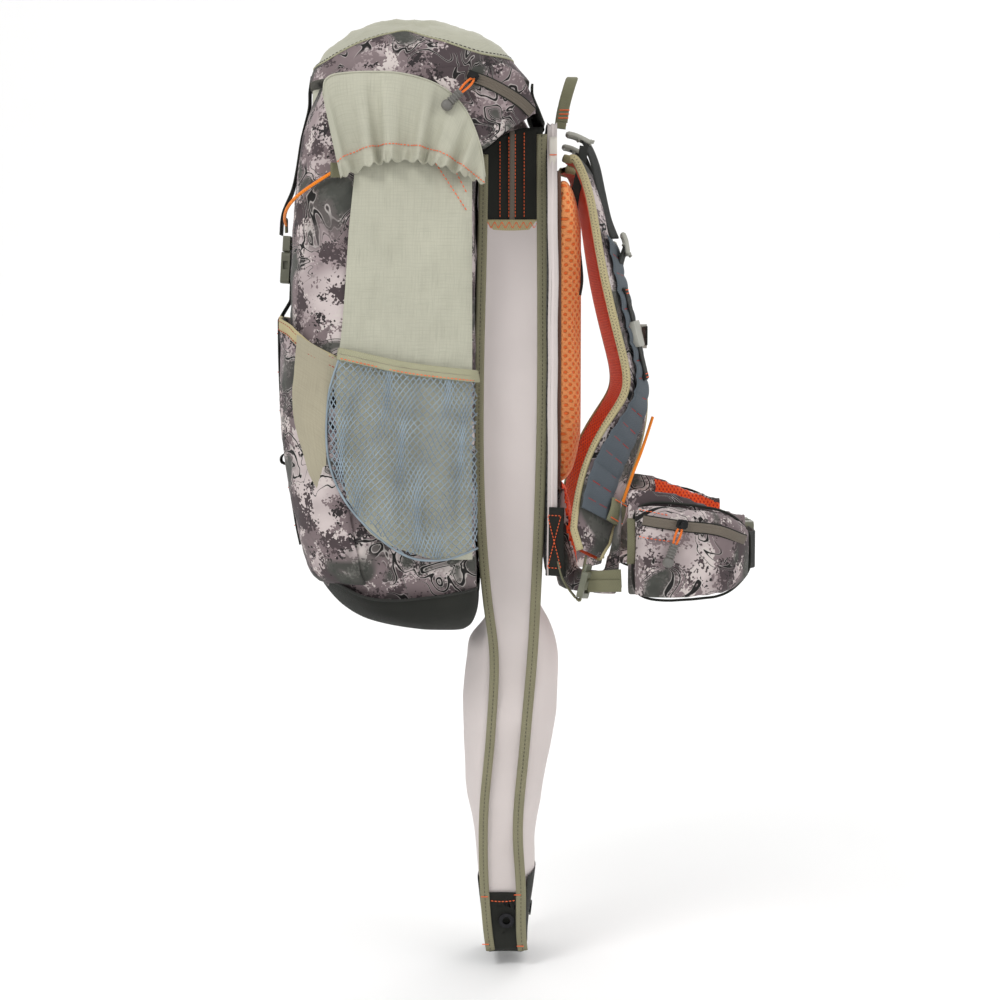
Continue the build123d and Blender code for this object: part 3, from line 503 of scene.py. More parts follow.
def flat(width, thick, corner=0.45):
    """Outline of a strip with soft edges and a few points across."""
    w, t = width / 2, thick / 2
    c = min(corner * thick, t)
    top = [(x, t) for x in np.linspace(-w + c, w - c, 6)]
    return top + [(w, t - c), (w, c - t)] + [(x, -y) for x, y in top[::-1]] + [(-w, c - t), (-w, t - c)]


def round_(radius, count=10, squash=1.0):
    turn = np.arange(count) * 2 * math.pi / count
    return np.stack([radius * np.cos(turn), radius * squash * np.sin(turn)], 1)


class Batch:
    """Many small shapes gathered for one object."""

    def __init__(self):
        self.points, self.faces, self.uvs, self.count = [], [], [], 0

    def add(self, points, faces, uv=None):
        self.points.append(np.asarray(points, float))
        self.faces += [tuple(int(i) + self.count for i in f) for f in faces]
        self.uvs.append(np.zeros((len(points), 2)) if uv is None else uv)
        self.count += len(points)
        return self

    def lines(self):
        return np.concatenate(self.points), self.faces, np.concatenate(self.uvs)

    def make(self, name, material, body="pack", **more):
        points, faces, uv = self.lines()
        return piece(name, points, faces, material, body, uv, **more)

    def both(self, name, material, body="pack", **more):
        points, faces, uv = self.lines()
        return pair(name, points, faces, material, body, uv, **more)


STITCH = np.array([(-1, 0.35), (-0.6, 0.95), (0, 1.1), (0.6, 0.95), (1, 0.35)])


def stitches(batch, path, up, pitch=3.4, length=2.5, radius=0.42, lift=0.15):
    """Rows of thread, each a small bead sunk at its ends."""
    path = np.asarray(path, float)
    far = np.concatenate([[0], np.linalg.norm(np.diff(path, axis=0), axis=1).cumsum()])
    count = max(1, int(far[-1] / pitch))
    at = (np.arange(count) + 0.5) * far[-1] / count
    middle = np.stack([np.interp(at, far, path[:, k]) for k in range(3)], 1)
    ahead = np.stack([np.interp(at + 1, far, path[:, k]) for k in range(3)], 1)
    back = np.stack([np.interp(at - 1, far, path[:, k]) for k in range(3)], 1)
    ups = np.broadcast_to(np.asarray(up, float), path.shape)
    ups = np.stack([np.interp(at, far, ups[:, k]) for k in range(3)], 1)
    along = ahead - back
    along /= np.maximum(np.linalg.norm(along, axis=1, keepdims=True), 1e-9)
    side = np.cross(along, ups)
    side /= np.maximum(np.linalg.norm(side, axis=1, keepdims=True), 1e-9)
    above = np.cross(side, along)
    turn = np.arange(5) * 2 * math.pi / 5
    bead = quads(len(STITCH), 5, True)
    for m, a, s, n in zip(middle, along, side, above):
        rings = (m + n * lift + a * STITCH[:, :1] * length / 2)[:, None] + radius * STITCH[:, 1:, None] * (
            np.cos(turn)[None, :, None] * s + np.sin(turn)[None, :, None] * n)
        faces = [tuple(f) for f in bead] + [(0, 1, 2, 3, 4)[::-1], (20, 21, 22, 23, 24)]
        batch.add(rings.reshape(-1, 3), faces)
    return batch


def zigzag(path, up, width, pitch):
    """The path with its points stepping from side to side."""
    path = np.asarray(path, float)
    far = np.linalg.norm(np.diff(path, axis=0), axis=1).sum()
    count = max(4, int(far / pitch))
    even = curve(path, count)
    ups = np.broadcast_to(np.asarray(up, float), path.shape)
    _, side, _ = axes(even, np.stack([np.interp(np.linspace(0, 1, count), np.linspace(0, 1, len(path)),
                                                ups[:, k])
                                      for k in range(3)], 1))
    return even + side * (width / 2 * (-1) ** np.arange(count))[:, None]


# ---- free cords ----
CORNER_CORD = [(-0.2383, -0.1511, -0.106), (-0.2658, -0.1388, -0.121), (-0.285, -0.1159, -0.135),
               (-0.292, -0.0871, -0.147), (-0.2924, -0.0582, -0.151)]
STRAP_CORD = [(0.0773, -0.0878, -0.3444), (0.0672, -0.1018, -0.3740), (0.0542, -0.1190, -0.4026),
              (0.0442, -0.1340, -0.4301)]


def free_cord(name, points, diameter, length, *nodes):
    """An elastic cord on a smooth spline through its route's points."""
    data = bpy.data.curves.new(name, "CURVE")
    data.dimensions = "3D"
    data.bevel_depth, data.bevel_resolution, data.resolution_u = diameter / 2, 4, 12
    data.use_fill_caps = True
    line = data.splines.new("NURBS")
    line.points.add(len(points) - 1)
    for point, place in zip(line.points, points):
        point.co = (*place, 1)
    line.order_u = 3
    line.use_endpoint_u = True
    data.materials.append(CORD)
    made = bpy.data.objects.new(name, data)
    scene.collection.objects.link(made)
    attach(made, "pack")
    if nodes:
        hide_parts(*nodes)


for turn, hand in ((1, "right"), (-1, "left")):
    free_cord("corner_cord_" + hand, [(x, turn * y, z) for x, y, z in CORNER_CORD], 0.0032, 0.126,
              "front_bungee")
    free_cord("hose_cord_" + hand, [(x, turn * y, z) for x, y, z in STRAP_CORD], 0.003, 0.103,
              "strap_bungee_" + hand)


# ---- bag ----
def half_ring(front, back, half, front_radius, back_radius, bow=0.0):
    """Half of a rounded plan, from the middle of the back round the right side to the middle of the front."""
    turn = np.linspace(0, math.pi / 2, 17)
    centre, front = np.linspace(1, 0, 12), front + bow
    parts = [np.stack([np.full(8, back), -np.linspace(0, half - back_radius, 9)[:-1]], 1),
             np.stack([back - back_radius + back_radius * np.cos(turn[::2]),
                       -(half - back_radius) - back_radius * np.sin(turn[::2])], 1)[:-1],
             np.stack([np.linspace(back - back_radius, front + front_radius, 29), np.full(29, -half)],
                      1)[:-1],
             np.stack([front + front_radius - front_radius * np.sin(turn),
                       -(half - front_radius) - front_radius * np.cos(turn)], 1)[:-1],
             np.stack([front - bow * (1 - centre ** 2), -(half - front_radius) * centre], 1)]
    return np.concatenate(parts)


def full_ring(row):
    return np.concatenate([row, (row * (1, -1))[-2:0:-1]])


def ring_rows(heights, front, back, half, front_radius, back_radius, bow=0.0):
    """Grid of closed plans, one for each height; each size is a function of height."""
    rows = []
    for z in heights:
        plan = full_ring(half_ring(front(z), back(z), half(z), front_radius(z), back_radius(z), bow))
        rows.append(np.concatenate([plan, np.full((len(plan), 1), z)], 1))
    return np.array(rows)


def outwards(grid, wrap=True):
    """Outward normals of a ring grid."""
    if wrap:
        across = np.roll(grid, -1, 1) - np.roll(grid, 1, 1)
    else:
        across = np.gradient(grid, axis=1)
    normal = np.cross(across, np.gradient(grid, axis=0))
    normal /= np.maximum(np.linalg.norm(normal, axis=2, keepdims=True), 1e-9)
    middle = grid.mean(axis=(0, 1))
    return normal if (normal * (grid - middle)).sum() > 0 else -normal


front_x = hermite([-556, -552, -541, -528, -512, -475, -434, -381, -330, -245, -190, -150, -120, -90, -55,
                   -18],
                  [-125, -150, -204, -243, -261, -272, -279, -286.5, -290, -291.5, -290.5, -288.5, -286,
                   -283, -277, -265])
half_y = hermite([-556, -541, -515, -400, -245, -90, -18], [99, 128, 142, 151, 151, 148, 139])
BOW = 6.0    # how much further forward the middle of the front is than its corners
FRONT_RADIUS, BACK_RADIUS = 62, 18    # of the bag's plan


def constant(value):
    return lambda z: value


def skin_y(x, z, lift=0.0):
    """The y of the bag's right side at an x and z."""
    front, half = front_x(z) + BOW, half_y(z)
    y = np.full(np.broadcast(x, z).shape, half)
    gap = np.clip((front + FRONT_RADIUS) - x, 0, FRONT_RADIUS - 0.1)
    y = y - (FRONT_RADIUS - np.sqrt(FRONT_RADIUS ** 2 - gap ** 2))
    gap = np.clip(x + 114, 0, BACK_RADIUS - 0.1)
    return -(y - (BACK_RADIUS - np.sqrt(BACK_RADIUS ** 2 - gap ** 2)) + lift)


rows = np.linspace(-20, -530, 110)
shell = ring_rows(rows, front_x, constant(-99), half_y, constant(FRONT_RADIUS), constant(BACK_RADIUS), BOW)
push = swell(shell, 120, 1.0, 5) + swell(shell * (1, 1, 0.45), 42, 0.9, 6, True)
shell = shell + outwards(shell) * (push[..., None] - 0.4)
surface("bag_camo", shell, outwards(shell), CAMO, slot="camo_cloth",
        replaces=("bag_front_panel", "bag_back_panel", "bag_side_right", "bag_side_left"))

# black base: its upper edge is lower at the back of the sides than at the front
base_edge = hermite([-270, -256, -205, -145, -97], [-500, -501, -521, -520, -512])
base_z = hermite([0, 0.25, 0.5, 0.7, 0.85, 0.95, 1.0], [-505, -517, -532, -543, -551.5, -556, -557])
base_front = hermite([0, 0.25, 0.5, 0.7, 0.85, 0.95, 1.0], [-262, -256, -240, -216, -190, -172, -163])
base_half = hermite([0, 0.25, 0.5, 0.7, 0.85, 0.95, 1.0], [145, 142, 137, 130, 121, 112, 106])
base_back = hermite([0, 0.5, 0.7, 0.85, 0.95, 1.0], [-98.5, -99, -101, -105, -111, -116])
outer = []
for step in np.linspace(0, 1, 26):
    z = base_z(step)
    plan = full_ring(half_ring(base_front(step) - 1.5, base_back(step), base_half(step) + 1.5,
                               FRONT_RADIUS - 34 * step ** 4, BACK_RADIUS - 5 * step ** 4, BOW))
    edge = base_edge(plan[:, 0])
    lift = edge + (base_z(1.0) - edge) * (z + 505) / (base_z(1.0) + 505)
    outer.append(np.concatenate([plan, lift[:, None]], 1))
for inset in (0.75, 0.45, 0.02):
    last = outer[25]
    centre = np.array([-140, 0, -559.5])
    outer.append(centre + (last - centre) * (inset, inset, 0.4))
outer = np.array(outer)
turned = outwards(outer)
outer[:24] += turned[:24] * (swell(outer[:24], 60, 0.8, 8))[..., None]
surface("bag_base_cloth", outer, outer - (-150, 0, -500), BLACK_CLOTH, replaces=("bag_base",),
        slot="dark_cloth")
rim = outer[0] + turned[0] * 0.2
seam = Batch()
loop = np.concatenate([rim, rim[:2]])
seam.add(*sweep(loop, round_(1.3, 8), (0, 0, 1)))
seam.make("base_piping", DARK_WEB, slot="dark_cloth")

# sage panels on the sides
sage_left = hermite([-482, -470, -432, -385, -325, -276, -228, -159, -110, -34],
                    [-140, -178, -219, -240, -243, -232, -227, -222, -217, -212])
z_rows = np.linspace(-24, -482, 90)
grid = np.array([[(x, 0, z) for x in np.linspace(sage_left(z), -103, 40)] for z in z_rows])
edge_fade = np.minimum(1, np.minimum(np.arange(40), np.arange(40)[::-1]) / 5.0)[None, :]
grid[..., 1] = (skin_y(grid[..., 0], grid[..., 2], 2.0)
                - edge_fade * (2.2 + swell(grid, 90, 1.3, 12) + swell(grid * (1.6, 1, 0.5), 34, 1.1, 14, True)))
surface("side_sage", grid, (0, -1, 0), RIPSTOP, make=pair, wrap=False,
     slot="ripstop_cloth")
thread = Batch()
for start, stop in (((-141, -93), (-108, -143)), ((-121, -101), (-108, -126))):
    line = np.array([(x, skin_y(x, z, 4.4), z) for x, z in zip(np.linspace(start[0], stop[0], 12),
                                                               np.linspace(start[1], stop[1], 12))])
    stitches(thread, line, (0, -1, 0), 4.2, 3.0, 0.5)
thread.both("side_stitches", THREAD, slot="orange_cord")

# stash pocket over the front
plan_columns = half_ring(-291, -96, 151, FRONT_RADIUS, BACK_RADIUS, BOW)
use = np.where(plan_columns[:, 0] <= -233)[0]
total = len(plan_columns) * 2 - 2
columns = np.arange(use[0], total - use[0] + 1) % total
top_z = hermite([-291, -285, -276, -262, -246, -233], [-243, -246, -253, -268, -279, -286])


def stash_depth(x0, points, extra=0.0):
    """How far the pocket stands off the bag, by the x it starts from."""
    share = np.clip((-240 - x0) / 42, 0, 1)
    tuck = np.clip((points[..., 2] + 508) / 46, 0, 1) ** 0.6
    depth = (2.4 + 9.6 * share ** 0.7) * (0.15 + 0.85 * tuck) + extra
    waves = swell(points, 110, 1.2, 21) + swell(points * (1, 1, 0.5), 46, 1.4, 22, True)
    return depth + waves * tuck * (0.3 + 0.7 * share)


rows_list = []
for share in np.linspace(0, 1, 70):
    line = []
    for c in columns:
        half_c = min(c, total - c)
        x0 = plan_columns[half_c, 0]
        z = top_z(x0) + (-508 - top_z(x0)) * share
        plan = half_ring(front_x(z), -96, half_y(z), FRONT_RADIUS, BACK_RADIUS, BOW)[half_c]
        line.append((plan[0], plan[1] * (1 if c <= total // 2 else -1), z))
    rows_list.append(line)
stash = np.array(rows_list, float)
out = outwards(stash, False)
out[..., 2] = 0
out /= np.linalg.norm(out, axis=2, keepdims=True)
start_x = np.array([plan_columns[min(c, total - c), 0] for c in columns])
depth = stash_depth(start_x[None, :] + 0 * stash[..., 0], stash)
lip = np.linspace(0, 1, 70)[:, None]
depth = depth - 1.2 * np.exp(-(lip / 0.03) ** 2)
stash = stash + out * depth[..., None]
points, faces, uv = thick_grid(stash, 2.4, out)
piece("stash_pocket", points, faces, CAMO, uv=uv, replaces=("front_stash_pocket",), slot="camo_cloth")
binding, thread = Batch(), Batch()
edge = stash[0] + out[0] * 0.6 + (0, 0, -5)
binding.add(*sweep(edge, flat(13, 3.0), out[0]))
binding.make("stash_binding", CREAM_BINDING, slot="olive_webbing")
stitches(thread, edge + out[0] * 1.6 + (0, 0, -4.6), out[0], 4.0, 3.0, 0.5)
stitches(thread, edge + out[0] * 1.6 + (0, 0, 4.2), out[0], 4.0, 3.0, 0.35)
thread.make("stash_stitches", RED_THREAD, slot="orange_cord")

# tan gusset at the pocket's side
left_edge = curve([(-268, -262), (-270, -332), (-265, -371), (-254, -408), (-240, -426)], 50)
right_edge = curve([(-233, -286), (-238, -319), (-243, -350), (-243, -395), (-238, -426)], 50)
grid = np.zeros((50, 16, 3))
for i in range(50):
    grid[i, :, 0] = np.linspace(left_edge[i, 0], right_edge[i, 0], 16)
    grid[i, :, 2] = np.linspace(left_edge[i, 1], right_edge[i, 1], 16)
corner = np.clip((front_x(grid[..., 2]) + BOW + FRONT_RADIUS - grid[..., 0]) / FRONT_RADIUS, 0, 0.98)
flat_x = grid[..., 0].copy()
grid[..., 1] = skin_y(grid[..., 0], grid[..., 2])
depth = stash_depth(flat_x, grid, 1.5)
grid[..., 0] -= depth * corner
grid[..., 1] -= depth * np.sqrt(1 - corner ** 2)
surface("stash_gusset", grid, (-0.3, -1, 0), TAN, make=pair, wrap=False,
     slot="ripstop_cloth")

# ---- net pockets ----
OUTLINE = np.array([(-231, -283), (-165, -297), (-98, -305), (-98, -471), (-134, -482), (-173, -475),
                    (-221, -432), (-243, -385), (-243, -325)], float)


def inside(x, z):
    """True for points within the net's outline."""
    result = np.zeros(np.broadcast(x, z).shape, bool)
    ends = np.roll(OUTLINE, -1, 0)
    for (x0, z0), (x1, z1) in zip(OUTLINE, ends):
        crosses = ((z0 > z) != (z1 > z)) & (x < (x1 - x0) * (z - z0) / (z1 - z0 + 1e-9) + x0)
        result ^= crosses
    return result


def net_y(x, z):
    """The net stands off the side in slack folds that run to its lower edge."""
    across = np.clip((x + 243) / 145, 0, 1)
    down = np.clip((-283 - z) / 200, 0, 1)
    bow = np.sin(np.pi * across) ** 0.7 * np.sin(np.pi * (0.12 + 0.88 * down)) ** 0.8
    folds = np.sin(across * 15 + down * 4 + 1.3 * np.sin(down * 4)) + 0.6 * np.sin(across * 31 - down * 6 + 1)
    return skin_y(x, z, 6.0) - 9.0 * bow - folds * 2.6 * bow ** 0.6


net = Batch()
PITCH_X, PITCH_Z = 4.9, 8.0
slope = PITCH_Z / PITCH_X
for hand in (-1, 1):
    for start in np.arange(-480 - 260, -280 + 260, PITCH_Z):
        x = np.arange(-252, -90, 1.7)
        z = start + hand * slope * (x + 170)
        x = (x + 4.0 * np.sin(z * 0.021 + 1) + 3.4 * np.sin(x * 0.105 + z * 0.028)
             + 1.6 * np.sin(x * 0.22 - z * 0.041))
        keep = inside(x, z)
        edges = np.flatnonzero(np.diff(np.concatenate([[0], keep.view(np.int8), [0]])))
        for a, b in zip(edges[::2], edges[1::2]):
            if b - a < 4:
                continue
            path = np.stack([x[a:b], net_y(x[a:b], z[a:b]) - hand * 0.25, z[a:b]], 1)
            net.add(*sweep(path, round_(0.62, 5, 0.8), (0, -1, 0)))
knit = net.both("pocket_net", NET, replaces=("mesh_pocket_right",), slot="pocket_net")
rim = curve(np.concatenate([OUTLINE[3:], OUTLINE[:1]]), 150)
rim = np.stack([rim[:, 0], net_y(rim[:, 0], rim[:, 1]) + 0.6, rim[:, 1]], 1)
edging = Batch().add(*sweep(rim, round_(1.15, 8), (0, -1, 0)))
edging.both("net_edge", NET, slot="pocket_net")
band_top = curve(OUTLINE[:3] + (0, 2), 60)
band_top = np.stack([band_top[:, 0], net_y(band_top[:, 0], band_top[:, 1]) - 1.4, band_top[:, 1]], 1)
band_top = np.concatenate([band_top[:1] + (-2, 3, 0), band_top, band_top[-1:] + (1, 2, 0)])
top = Batch().add(*sweep(band_top, flat(12, 2.2), (0, -1, 0.1)))
top.both("net_band", SAGE_BINDING, slot="olive_webbing")
thread = Batch()
stitches(thread, band_top + (0, -1.3, -4.4), (0, -1, 0), 3.8, 2.8, 0.5)
thread.both("net_band_stitches", THREAD, slot="orange_cord")
mid = Batch().add(*sweep(band_top + (0, -1.0, 0), flat(0.8, 1.0), (0, -1, 0.1)))
mid.both("net_band_fold", TAN, slot="olive_webbing")

# ---- lid ----
LEVEL = [-14, 2, 24, 45, 59, 64.5]
lid_front = hermite(LEVEL, [-269, -264, -247, -226, -200, -178])
lid_back = hermite(LEVEL, [-47, -60, -80, -108, -138, -170])
lid_half = hermite(LEVEL, [158, 153, 140, 113, 74, 14])
lid_radius = hermite(LEVEL, [66, 64, 58, 48, 34, 10])
rows = np.concatenate([np.linspace(-15, 50, 44), np.linspace(51, 64.5, 14)])


def back_radius(z):
    return lid_radius(z) * 0.75


dome = ring_rows(rows, lid_front, lid_back, lid_half, lid_radius, back_radius, 5.0)
seam_z = hermite([-272, -262, -250, -243, -230, -205, -175, -135, -96, -79, -60, -41],
                 [-3, 0, 4, 9, 18, 30, 35, 27, 15, 8, 6, 6])
base_x = dome[0, :, 0]
level = seam_z(base_x)
count = dome.shape[1]


def dome_at(z):
    """Every column's point at its own height z."""
    k = np.clip(np.searchsorted(rows, z) - 1, 0, len(rows) - 2)
    t = (z - rows[k]) / (rows[k + 1] - rows[k])
    c = np.arange(count)
    return dome[k, c] + (dome[k + 1, c] - dome[k, c]) * t[:, None]


top_rows = np.array([dome_at(level + (64.4 - level) * s) for s in np.linspace(0, 1, 60)])
top_rows = np.concatenate([top_rows, [top_rows[-1] * (0.05, 0.05, 1) + (-176 * 0.95, 0, 0.3)]])
side_rows = np.array([dome_at(-14.5 + (level + 14.5) * s) for s in np.linspace(0, 1, 26)])
for part in (top_rows, side_rows):
    part[..., 2] = np.where(part[..., 2] > 20, 20 + (part[..., 2] - 20) * 0.82, part[..., 2])
normal = top_rows - (-160, 0, -30)
normal /= np.linalg.norm(normal, axis=2, keepdims=True)
fade = np.clip(np.linspace(0, 6, 61), 0, 1)[:, None]
top_rows += normal * ((swell(top_rows, 90, 1.6, 41) + swell(top_rows * (1, 0.5, 1), 38, 1.3, 42, True))
                      * fade)[..., None]
surface("lid_top", top_rows, normal, RIPSTOP, "lid", replaces=("lid_shell",), slot="ripstop_cloth")
normal = side_rows - (-160, 0, -30)
normal /= np.linalg.norm(normal, axis=2, keepdims=True)
side_rows += normal * (swell(side_rows, 70, 1.2, 43) * np.sin(np.linspace(0, np.pi, 26))[:, None])[..., None]
surface("lid_side", side_rows, normal, CAMO, "lid", slot="camo_cloth")
under = side_rows[0]
floor = np.array([under, under * (0.94, 0.94, 1) + (-9, 0, 2), under * (0.02, 0.02, 1) + (-150, 0, 3)])
piece("lid_lining", floor.reshape(-1, 3), face_out(floor, quads(*floor.shape[:2], True), (0, 0, -1)),
      LINING, "lid",
      uv=floor[..., :2].reshape(-1, 2), slot="ripstop_cloth")
piping, thread = Batch(), Batch()
ring = top_rows[0]
out_ring = ring - (-160, 0, -40)
out_ring /= np.linalg.norm(out_ring, axis=1, keepdims=True)
closed = np.concatenate([ring, ring[:2]])
piping.add(*sweep(closed + np.concatenate([out_ring, out_ring[:2]]) * 0.3, round_(0.9, 8), (0, 0, 1)))
piping.make("lid_piping", SAGE_BINDING, "lid", slot="olive_webbing")
stitches(thread, top_rows[3] + normal[3] * 0.6, normal[3], 4.4, 3.0, 0.4)
thread.make("lid_seam_stitches", DARK_THREAD, "lid", slot="dark_cloth")

# rear flap under the lid's side
flap_top = hermite([-150, -95, -70, -56, -46, -41], [-8, -6, -6, -14, -30, -42])
flap_low = hermite([-150, -130, -118, -105, -92, -72, -52, -43], [-16, -28, -56, -84, -84, -69, -56, -48])
grid = np.zeros((30, 50, 3))
xs = np.linspace(-150, -41.5, 50)
for j, x in enumerate(xs):
    grid[:, j, 0] = x
    grid[:, j, 2] = np.linspace(flap_top(x), flap_low(x), 30)
grid[..., 1] = -157.6 - 1.5 * np.sin((grid[..., 0] + 150) / 108 * np.pi) + swell(grid, 50, 0.9, 51)
grid[..., 1] += np.clip((grid[..., 0] + 62) / 20, 0, 1) ** 2 * 24
points, faces, uv = thick_grid(grid, 2.2, (0, -1, 0))
pair("lid_flap", points, faces, CAMO, "lid", uv, slot="camo_cloth")

# gathered skirts
top_edge = curve([(-246, -34), (-242.3, -17.5), (-222.7, -12.0), (-173.7, -12.2), (-134.5, -24), (-110, -46),
                  (-95.2, -80.3), (-90.3, -111)], 150)
hem = curve([(-229.2, -113), (-217.5, -107.5), (-193, -98.5), (-163.7, -96.5), (-134.3, -101),
             (-110, -110.2), (-90.3, -119)], 150)
grid = np.zeros((48, 150, 3))
down = np.linspace(0, 1, 48)[:, None]
u = np.linspace(0, 1, 150)[None, :]
for k, axis in ((0, 0), (1, 2)):
    grid[..., axis] = top_edge[None, :, k] * (1 - down) + hem[None, :, k] * down
fan = u * 6.3 * 2 * np.pi
deep = np.sin(fan + 0.7 * np.sin(3 * fan / 5))
deep = (np.sign(deep) * np.abs(deep) ** 0.7 * (0.4 + 8.4 * down ** 0.75)
        * np.clip(np.minimum(u, 1 - u) * 12, 0, 1))
ruffle = np.sin(u * 14 * 2 * np.pi + 1.3 * np.sin(u * 21)) * 3.0 * np.clip((down - 0.8) / 0.12, 0, 1)
grid[..., 1] = -161.0 - 5.0 * np.sin(np.pi * np.clip(down, 0, 1) * 0.75) - deep * 0.8 - ruffle
grid[..., 2] += ruffle * 0.5
points, faces, uv = thick_grid(grid, 1.0, (0, -1, 0))
skirts = pair("lid_skirt", points, faces, RIPSTOP, "lid", uv, replaces=("lid_skirts",), slot="ripstop_cloth")
thread, binding = Batch(), Batch()
line = grid[38] + (0, -0.9, 0)
stitches(thread, line, (0, -1, 0), 3.6, 2.4, 0.5)
thread.both("skirt_stitches", THREAD, "lid", slot="orange_cord")
binding.add(*sweep(grid[0] + (0, -0.2, 0), round_(0.8, 8), (0, -1, 0)))
binding.both("skirt_piping", RIPSTOP, "lid", slot="olive_webbing")


def ribbed(half, middles, reach, low, high):
    """Outline of a zip band: one rib round each middle, with thin edges."""
    ribs = [point for m in middles for point in ((m - reach, low), (m, high), (m + reach, low))]
    return [(-half, -0.8)] + ribs + [(half, -0.8)]


# ribbed zip band with piping on both edges
path = curve([(-108, -160.4, -14.5), (-90, -160.6, -20.5), (-72, -160.6, -29.5), (-56, -158.8, -39.5),
              (-45, -152, -49)], 60)
band_, pipes = Batch(), Batch()
band_.add(*sweep(path, ribbed(5.0, [-3.6 + 2.4 * k for k in range(4)], 1.1, 0.2, 1.5), (0, -1, 0)))
band_.both("lid_zip_band", ZIP_TAPE, "lid", replaces=("lid_zipper",), slot="zip_tape")
_, side, _ = axes(path, (0, -1, 0))
for offset in (-5.2, 5.2):
    pipes.add(*sweep(path + side * offset, round_(0.6, 8), (0, -1, 0)))
pipes.both("lid_zip_piping", BLACK_CLOTH, "lid", slot="orange_cord")

# ---- scabbard ----
edge_front = hermite([-905, -898, -828, -757, -667, -580, -530, -56],
                     [-88, -89, -95, -95.5, -88, -85, -91, -95])
edge_back = hermite([-905, -898, -828, -777, -677, -577, -487, -377, -56],
                    [-51, -52, -54, -57, -50, -42, -38, -34.5, -34])
edge_half = hermite([-905, -850, -800, -685, -580, -560, -540, -530, -56],
                    [46, 53, 60, 74, 86, 90, 94, 97, 97])
bulge_front = hermite([-905, -853, -780, -685, -600, -578, -562, -545, -56], [1, 3, 8, 26, 28, 22, 6, 0, 0])
bulge_back = hermite([-905, -853, -780, -748, -685, -580, -560, -545, -520, -56],
                     [3, 10, 21, 25, 29, 25, 16, 7, 0, 0])


def sleeve_ring(z, grow=0.0):
    front, back, half = edge_front(z), edge_back(z), edge_half(z)
    t = np.linspace(0, 1, 15)[1:-1]
    side = np.stack([front + (back - front) * t, -half + 3.0 * np.sin(np.pi * t) ** 0.6], 1)
    t = np.linspace(-1, 1, 31)
    crown = np.sqrt(np.clip(1 - t ** 2, 0, 1)) ** 1.1
    rear = np.stack([back + bulge_back(z) * crown, half * t], 1)
    fore = np.stack([front - bulge_front(z) * crown, -half * t], 1)
    ring = np.concatenate([side, rear, side[::-1] * (1, -1), fore])
    middle = np.array([(front + back) / 2, 0])
    away = ring - middle
    away /= np.linalg.norm(away, axis=1, keepdims=True)
    return np.concatenate([ring + away * grow, np.full((len(ring), 1), z)], 1)


rows = np.linspace(-150, -850, 190)
tube = np.array([sleeve_ring(z) for z in rows])
normal = outwards(tube)
low = np.clip((-560 - tube[..., 2]) / 60, 0, 1)
crease = swell(tube * (1, 1, 0.8), 110, 1.2, 61, True) + swell(tube, 55, 0.6, 62)
tube += normal * (crease * (0.25 + 0.75 * low))[..., None]
surface("scabbard_sleeve_cloth", tube, normal, GREY_CLOTH, "pack>drop",
        replaces=("scabbard_sleeve", "scabbard_drop"), slot="scabbard_cloth")

boot = []
for s in np.linspace(0, 1, 40):
    ring = sleeve_ring(-838 - 62 * s, 1.2)
    start = np.where(np.abs(ring[:, 1]) > edge_half(-838) - 4, -838, np.where(ring[:, 0] > -72, -821, -834))
    ring[:, 2] = start + (-900 - start) * s
    flat_ring = np.array([sleeve_ring(z, 1.2)[i] for i, z in enumerate(ring[:, 2])])
    boot.append(flat_ring)
last = boot[-1]
for inset, drop_ in ((0.96, 2.5), (0.85, 4.5), (0.6, 5.0), (0.02, 5.0)):
    boot.append(last * (0, 0, 1) + np.array([-70, 0, -drop_]) + (last - (-70, 0, 0)) * (inset, inset, 0))
boot = np.array(boot)
surface("scabbard_boot_cloth", boot, boot - (-70, 0, -860), BLACK_CLOTH, "drop",
        replaces=("scabbard_boot",), slot="dark_cloth")

cuff_top = hermite([-92, -78, -62, -33], [-80, -68, -60, -57])
cuff = []
for s in np.linspace(0, 1, 24):
    ring = sleeve_ring(-100, 1.4)
    ring[:, 2] = cuff_top(ring[:, 0]) + (-149 - cuff_top(ring[:, 0])) * s
    cuff.append(ring)
cuff = np.array(cuff)
inner = (cuff[0] - (-62, 0, 0)) * (0.86, 0.96, 1) + (-62, 0, -2)
deep = (cuff[0] - (-62, 0, 0)) * (0.8, 0.94, 1) + (-62, 0, -34)
closed = deep * (0, 0, 1) + deep * (0.05, 0.05, 0) + (-60, 0, -4)
cuff = np.concatenate([[closed, deep, inner], cuff])
surface("scabbard_cuff_cloth", cuff, outwards(cuff), BLACK_CLOTH, replaces=("scabbard_cuff",),
        slot="dark_cloth")
cream, thread, stripe = Batch(), Batch(), Batch()
line = np.array([(x, -98.6, -153.5) for x in np.linspace(-92, -35, 30)])
cream.add(*sweep(line, flat(11, 2.0), (0, -1, 0)))
cream.both("cuff_band", CREAM_BINDING, slot="olive_webbing")
stitches(thread, zigzag(line + (0, -1.0, 0), (0, -1, 0), 6.5, 3.2), (0, -1, 0), 3.6, 3.6, 0.42)
for x in (-76, -67.2, -60.8, -52):
    stitches(thread, np.array([(x, -98.7, z) for z in np.linspace(cuff_top(x) - 4, -146, 20)]), (0, -1, 0),
             3.4, 2.4, 0.5)
thread.both("cuff_stitches", THREAD, slot="orange_cord")
stripe.add(*sweep(np.array([(-64, -98.4, z) for z in np.linspace(-61, -148, 12)]), flat(5.2, 1.2),
                  (0, -1, 0)))
stripe.both("cuff_stripe", ZIP_TAPE, slot="olive_webbing")
